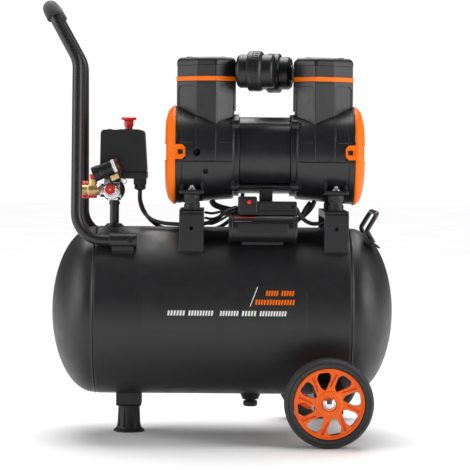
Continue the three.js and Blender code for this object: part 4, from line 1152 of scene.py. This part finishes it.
def pressure_switch():
    """The switch's hollow cover, its base with the cable gland, and its knob."""
    outline = rounded([(-186, 396.3), (-116, 396.3), (-120, 459), (-185, 459)], [1, 1, 6, 6], 5)
    body = prism_y(outline, -27, 35, 2.2, 4)
    inside = block((-183, -24.5, 390), (-122.5, 32.5, 456.5))
    stem_hole = shifted(disc(6, 430, 480), SWITCH_KNOB_X, SWITCH_Y, 0)
    well = shifted(washer(15.5, 13.2, 456, 460, 0.4), SWITCH_KNOB_X, SWITCH_Y, 0)
    cover = joined(cut(body, inside, stem_hole), well)
    ridges = [block((-181 + 5 * k, -27.9, 402), (-178.5 + 5 * k, -26, 411), 0.4) for k in range(4)]
    screw = shifted(disc(3.6, 458.6, 460.2, 0.5, 32), -173, SWITCH_Y, 0)
    stand_in("switch_cover", "moulded", put(merged([cover, *ridges, screw]), 0, 0, 0), "black_plastic")
    base = block((-186.5, -28, 385.3), (-115.5, 36, 396), 1.4)
    gland = block((-136, -6, 376), (-117, 14, 386), 1)
    dome = turned([(0, 367.6), (5, 367.6), (7.4, 369.2), (0, 369.2)], [0, 1, 0.5, 0], 40)
    nut = shifted(merged([disc(8.5, 369, 377, 0.8, 6), dome]), GLAND_X, SWITCH_Y, 0)
    stand_in("switch_base", "moulded", put(merged([base, gland, nut]), 0, 0, 0), "black_plastic")
    profile = [(0, 440), (5.6, 440), (5.6, 464), (7, 464.5), (7, 473), (11.5, 474.2), (11.5, 477.2),
               (9, 478.4), (0, 478.4)]
    knob = turned(profile, [0, 0.3, 0.3, 0.4, 1.5, 1.2, 1.2, 1.5, 0], 64, 4)
    stand_in("switch_knob", "turned", put(knob, SWITCH_KNOB_X, SWITCH_Y, 0),
             "red_plastic", "switch_knob")


def manifold():
    """The riser from the tank, its welded boss, and the cast cross that carries the fittings."""
    boss = shifted(disc(12, 290, 317, 1.2), RISER_X, 0, 0)
    pipe = shifted(merged([washer(7, 4.5, 300, 352, 0.6, 48), washer(8.2, 4.5, 345.5, 350.5, 0.6, 48)]),
                   RISER_X, 0, 0)
    piece("riser_pipe", put(merged([cut(boss, tank_space()), pipe]), 0, 0, 0), "steel_paint",
          replaces="riser_manifold")
    barrel = pointed(disc(12.6, -15, 15, 1.2), -Y, -169, 0, 366)
    hexagon = along_x(disc(11.5, -187, -176, 1.0, 6))
    collar = pointed(disc(10, 14, 26, 0.8, 8), -Y, VALVE_X, 0, VALVE_Z)
    seat = pointed(disc(8, 14, 29, 0.8), -Y, VALVE_X, 0, VALVE_Z)
    outlet_arm = block((-186.8, -14, 360), (-172, 14, 376), 2)
    base = shifted(disc(10, 352, 362, 1, 6), RISER_X, 0, 0)
    neck = block((-181, -9, 374), (-157, 9, 385), 1.2)
    shoulder = block((-164, -13, 356), (-156.2, 13, 378), 2.2)
    body = joined(barrel, shifted(hexagon, 0, 0, 367), collar, seat, outlet_arm, base, neck, shoulder)
    piece("manifold_cast", put(body, 0, 0, 0), "chrome")
    ring = [at(RISER_X + x, y, TANK.middle.z + tank_height(y) + 0.4) for x, y in circle(12.6, 48)]
    piece("riser_weld", tube(ring, 1.6, 10, closed=True), "steel_paint")


def coupler():
    """The quick coupler and its ribbed sleeve, which slides on it."""
    body = along_x(washer(9, 5.5, -217, -187.3, 0.8))
    stand_in("coupler_body", "turned", put(body, 0, COUPLER_Y, OUTLET_Z), "bright_steel")
    section = [(9.3, -214), (12.3, -214), (13.3, -213), (13.3, -193), (12.3, -192), (9.3, -192)]
    sleeve = along_x(lathe(rounded(section, [0.3, 0.8, 0.8, 0.8, 0.8, 0.3], 3), 96, loop=True))
    grip = [along_x(washer(14, 12.8, -210 + 4 * k, -208.4 + 4 * k, 0, 96)) for k in range(4)]
    stand_in("coupler_sleeve", "turned", put(cut(sleeve, *grip), 0, COUPLER_Y, OUTLET_Z),
             "red_plastic", "coupler_sleeve")


def outlet_cock():
    """The brass outlet beside the coupler, with a red cap on its neck."""
    body = [along_x(washer(*ring)) for ring in ((6.4, 3, -213, -187.3, 0.6),
                                                (8.2, 3, -204, -190, 1.2, 8), (7.2, 3, -213, -206, 0.8))]
    elbow = block((-191, -4, -5), (-187.3, 12, 5), 0.8)
    neck = shifted(disc(5.5, 0, 16, 0.6), -197, 0, 0)
    stand_in("outlet_cock", "turned", put(merged([*body, elbow, neck]), 0, COCK_Y, OUTLET_Z), "brass")
    cap = shifted(disc(4.6, 16, 24, 3.4), -197, 0, 0)
    piece("outlet_cock_cap", put(cap, 0, COCK_Y, OUTLET_Z), "red_plastic")


def valve_knob():
    """The red knob at the front of the cross, notched and dimpled round its centre screw."""
    profile = [(0, 29.3), (4, 29.3), (4, 32), (8, 33), (8, 39), (6.8, 40), (0, 40)]
    knob = turned(profile, [0, 0, 0.4, 1.2, 0.8, 0.8, 0])
    notches = spun([shifted(disc(1.6, 32.5, 42, 0, 20), 8.6, 0, 0)], 6)
    dimples = spun([shifted(disc(1.5, 38.9, 42, 0, 20), 5.0, 0, 0)], 6, math.pi / 6)
    knob = cut(knob, notches, dimples, disc(2.4, 38.6, 42))
    place = facing(-Y, at(VALVE_X, 0, VALVE_Z))
    stand_in("valve_knob", "moulded", moved(knob, place), "red_plastic", "valve_knob")
    screw = disc(1.7, 38.4, 39.8, 0.3, 32)
    piece("valve_knob_screw", moved(screw, place), "brass", "valve_knob")


def regulator():
    """The regulator leaning over the cross: a ribbed knob, a pale ring, a nut and its arm."""
    tilt = Matrix.Rotation(-REGULATOR_TILT, 4, "Y")
    place = Matrix.Translation(at(-166, -46, 403)) @ tilt
    profile = [(0, -31), (10.8, -31), (11.5, -30), (11.5, -20), (10.6, -19), (10.6, 0), (0, 0)]
    knob = turned(profile, [0, 1.2, 0.8, 0.8, 0.5, 0.6, 0], 96)
    flutes = spun([shifted(disc(1.1, -29, -21, 0.3, 12), 12.1, 0, 0)], 20)
    ribs = spun([shifted(disc(0.5, -18, -2, 0, 8), 10.7, 0, 0)], 24)
    knob = along_x(cut(knob, flutes, ribs))
    stand_in("regulator_knob", "moulded", moved(knob, place), "black_plastic", "regulator_knob")
    ring, nut = along_x(disc(10.8, 0.3, 5.4, 0.8)), along_x(disc(10.2, 5.4, 10, 1))
    piece("regulator_ring", moved(ring, place), "white_plastic", replaces="regulator_body")
    # The nut's dark red is a painted reflection of the red valve knob beside it, not the nut's own colour.
    piece("regulator_nut", moved(nut, place), "painted_red_reflection")
    arm = [block((-161, -51, 380), (-153, -40, 404), 1), block((-170, -51, 380), (-155, -15.3, 384.6), 1)]
    piece("regulator_arm", put(merged(arm), 0, 0, 0), "black_plastic")
    port = moved(block((-6, -3, -4), (6, 3, 4), 0.8), tilt)
    piece("regulator_port", put(port, -162, -53, 388), "brass")


def safety_valve():
    """The pull ring of the safety valve and its stem."""
    ring = tube([(x, y, 0) for x, y in circle(3.4, 40)], 0.75, 12, closed=True)
    stem = pointed(disc(1, 3, 6.2, 0.2, 16), -X, 0, 0, 0)
    shapes = merged([pointed(ring, -Y, 0, 0, 0), stem])
    stand_in("safety_ring", "bent", put(shapes, *SAFETY_VALVE), "chrome", "safety_ring")


def gauge():
    """The gauge's case facing the rear, its dial and the strokes of its scale."""
    place = facing(Y, at(*GAUGE))
    body = [(0, 21), (16.5, 21), (17.5, 22), (17.5, 32.2), (16.8, 33), (15.5, 33), (15.5, 28), (0, 28)]
    case = [turned(body, [0, 1, 1, 0.6, 0.4, 0.3, 0, 0], 96), disc(5, 15.3, 22, 0.3, 6)]
    stand_in("pressure_gauge", "case", moved(merged(case), place), "black_plastic")
    piece("gauge_dial", moved(disc(15.2, 28, 28.15), place), "white_plastic")
    strokes = []
    for k in range(21):
        turn = Matrix.Rotation(math.radians(225 - 13.5 * k), 4, "Z")
        length = 3.2 if k % 5 == 0 else 1.6
        strokes.append(moved(block((13.8 - length, -0.25, 28.1), (13.8, 0.25, 28.25)), turn))
    piece("gauge_scale", moved(merged(strokes), place), "black_plastic")


def drain():
    """The drain's boss under the tank, and its knob."""
    profile = [(0, 50), (12, 50), (17.5, 62), (17.5, 70), (0, 70)]
    boss = turned(profile, [0, 1, 3, 0, 0], 64, 4)
    stand_in("drain_valve", "turned", put(cut(boss, tank_space()), DRAIN_X, 0, 0), "black_plastic")
    profile = [(0, 39.5), (9, 39.5), (11, 41), (11, 47), (9, 48), (4, 48), (4, 49.7), (0, 49.7)]
    knob = turned(profile, [0, 0.8, 0.8, 0.8, 0.6, 0.5, 0, 0])
    grips = spun([shifted(disc(1.5, 38, 52, 0, 12), 11.7, 0, 0)], 10)
    stand_in("drain_knob", "moulded", put(cut(knob, grips), DRAIN_X, 0, 0),
             "black_plastic", "drain_knob")


# ---- cables and hoses ----
# Each route is the one that the CAD's cable follows: (x from the tank's middle, y, z).
ROUTES = {
    "switch_lead": (3, [(-126.5, 0, 367.5), (-126.5, 0, 352), (-121, -4, 336), (-108, -14, 324),
                        (-90, -22, 319), (-68, -28, 317.5), (-47, -32, 317), (-28, -38, 319),
                        (-8, -52, 328), (6, -64, 340), (20, -70, 345)]),
    "supply_lead": (3, [(-126.5, 8, 367.5), (-126, 8, 352), (-119, 14, 333), (-108, 26, 319),
                        (-92, 44, 309), (-68, 56, 306), (-47, 58, 305), (-25, 57, 305),
                        (-2, 50, 312), (18, 40, 330), (28, 32, 350), (31, 28, 369)]),
    "discharge_hose_left": (4.5, [(-17, -20, 353.5), (-14, -22, 348), (-2, -26, 343), (14, -28, 339),
                                  (30, -20, 330), (37, -8, 323), (39, -2, 318.5)]),
    "discharge_hose_right": (3.5, [(138, -20, 353.5), (134, -24, 345), (124, -28, 334),
                                   (108, -26, 323), (90, -16, 319), (74, -6, 318.5), (60, 0, 317.5)]),
}


# The leads that the CAD leaves out: from the left bracket and the terminal box.
EXTRA_ROUTES = {
    "motor_lead_upper": (1.9, [(-27, -40, 336), (-16, -46, 335), (0, -56, 339), (18, -62, 345)]),
    "motor_lead_middle": (1.9, [(-27, -46, 328), (-16, -52, 327), (0, -60, 333), (18, -66, 341)]),
    "motor_lead_lower": (1.9, [(-27, -52, 320), (-16, -58, 320), (0, -66, 328), (18, -72, 340)]),
    "crossing_lead": (3, [(109, -64, 344), (114, -61, 334.5), (122, -57, 326), (132.5, -52, 321),
                          (143.5, -47, 321), (153, -43, 324.5)]),
    "fan_lead": (3, [(130, -40, 352), (124, -46, 344), (117, -50, 332), (108, -48, 322),
                     (94, -40, 316.5)]),
}


def cables():
    """Every lead and hose, as a round tube along its route."""
    for name, (radius, route) in {**ROUTES, **EXTRA_ROUTES}.items():
        line = flowing([at(*place) for place in route], radius * 0.6)
        made = piece(f"{name}_drawn", tube(line, radius, 24), "cable",
                     replaces=name if name in ROUTES else ())


# ---- printed marks: plain bars, standing for the maker's print ----
def ticks(words):
    """Short strokes at an even pitch over each (start, end) stretch."""
    pitch, share = 4.2, 0.62
    strokes = []
    for start, end in words:
        count = max(1, round((end - start) / pitch))
        step = (end - start) / count
        strokes += [(start + step * k, start + step * (k + share)) for k in range(count)]
    return strokes


def mark(name, strokes, z0, z1, slant, finish):
    """Strokes of ink on the tank's front, each from x0 to x1, leaning by slant."""
    shapes = []
    for x0, x1 in strokes:
        shape = bmesh.new()
        rows = []
        for k in range(9):
            z = z0 + (z1 - z0) * k / 8
            lean = slant * (z - z0)
            y = -math.sqrt((TANK_RADIUS + 0.12) ** 2 - (z - TANK.middle.z) ** 2)
            rows.append([shape.verts.new(at(x + lean, y, z)) for x in (x0, x1)])
        for lower, upper in zip(rows, rows[1:]):
            shape.faces.new((lower[0], lower[1], upper[1], upper[0]))
        bmesh.ops.solidify(shape, geom=shape.faces[:], thickness=0.1)
        shapes.append(shape)
    piece(name, shapes, finish)


def printed_marks():
    """A slash and three rows of strokes, with no lettering."""
    mark("mark_slash", [(39.6, 40.8)], 202.3, 230.3, 0.39, "white_plastic")
    mark("mark_orange_upper", ticks([(63, 82), (85.5, 105)]), 217.6, 225, 0.15, "orange_plastic")
    mark("mark_orange_lower", ticks([(47.5, 106)]), 204.6, 212, 0.15, "orange_plastic")
    words = [(-80.5, -54), (-50, -13), (-4, 24), (28, 50), (54, 94)]
    mark("mark_white", ticks(words), 188.2, 195.6, 0.15, "white_plastic")


def satin_panel():
    """A patch of the tank's front with a rounded outline and a slightly duller paint."""
    x0, x1, z0, z1, corner = -117, 124, 166, 229, 10
    through = put(prism_y(arch(x0, x1, z0, z1, corner, 6), -200, -40), 0, 0, 0)
    skin = moved(washer(TANK_RADIUS + 0.06, TANK_RADIUS - 1, -300, 300, 0, 256), facing(X, TANK.middle))
    piece("tank_satin_panel", common(skin, through), "tank_satin")


# ---- carried-over CAD nodes ----
def dress_cad_nodes():
    """Gives the CAD nodes that stay in view their finishes."""
    for name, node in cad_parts.items():
        slot = SLOT_OF_CAD.get(name, "casing")
        node.data.materials.clear()
        node.data.materials.append(FINISH[slot])


dress_cad_nodes()
camera()
studio()
floor()
tank()
foot()
wheel("front", -Y)
wheel("rear", Y)
handle()
lifting_loop()
bracket("left")
bracket("right")
pump()
motor()
capacitor_housing()
terminal_box()
pressure_switch()
manifold()
coupler()
outlet_cock()
valve_knob()
regulator()
safety_valve()
gauge()
drain()
cables()
printed_marks()
satin_panel()
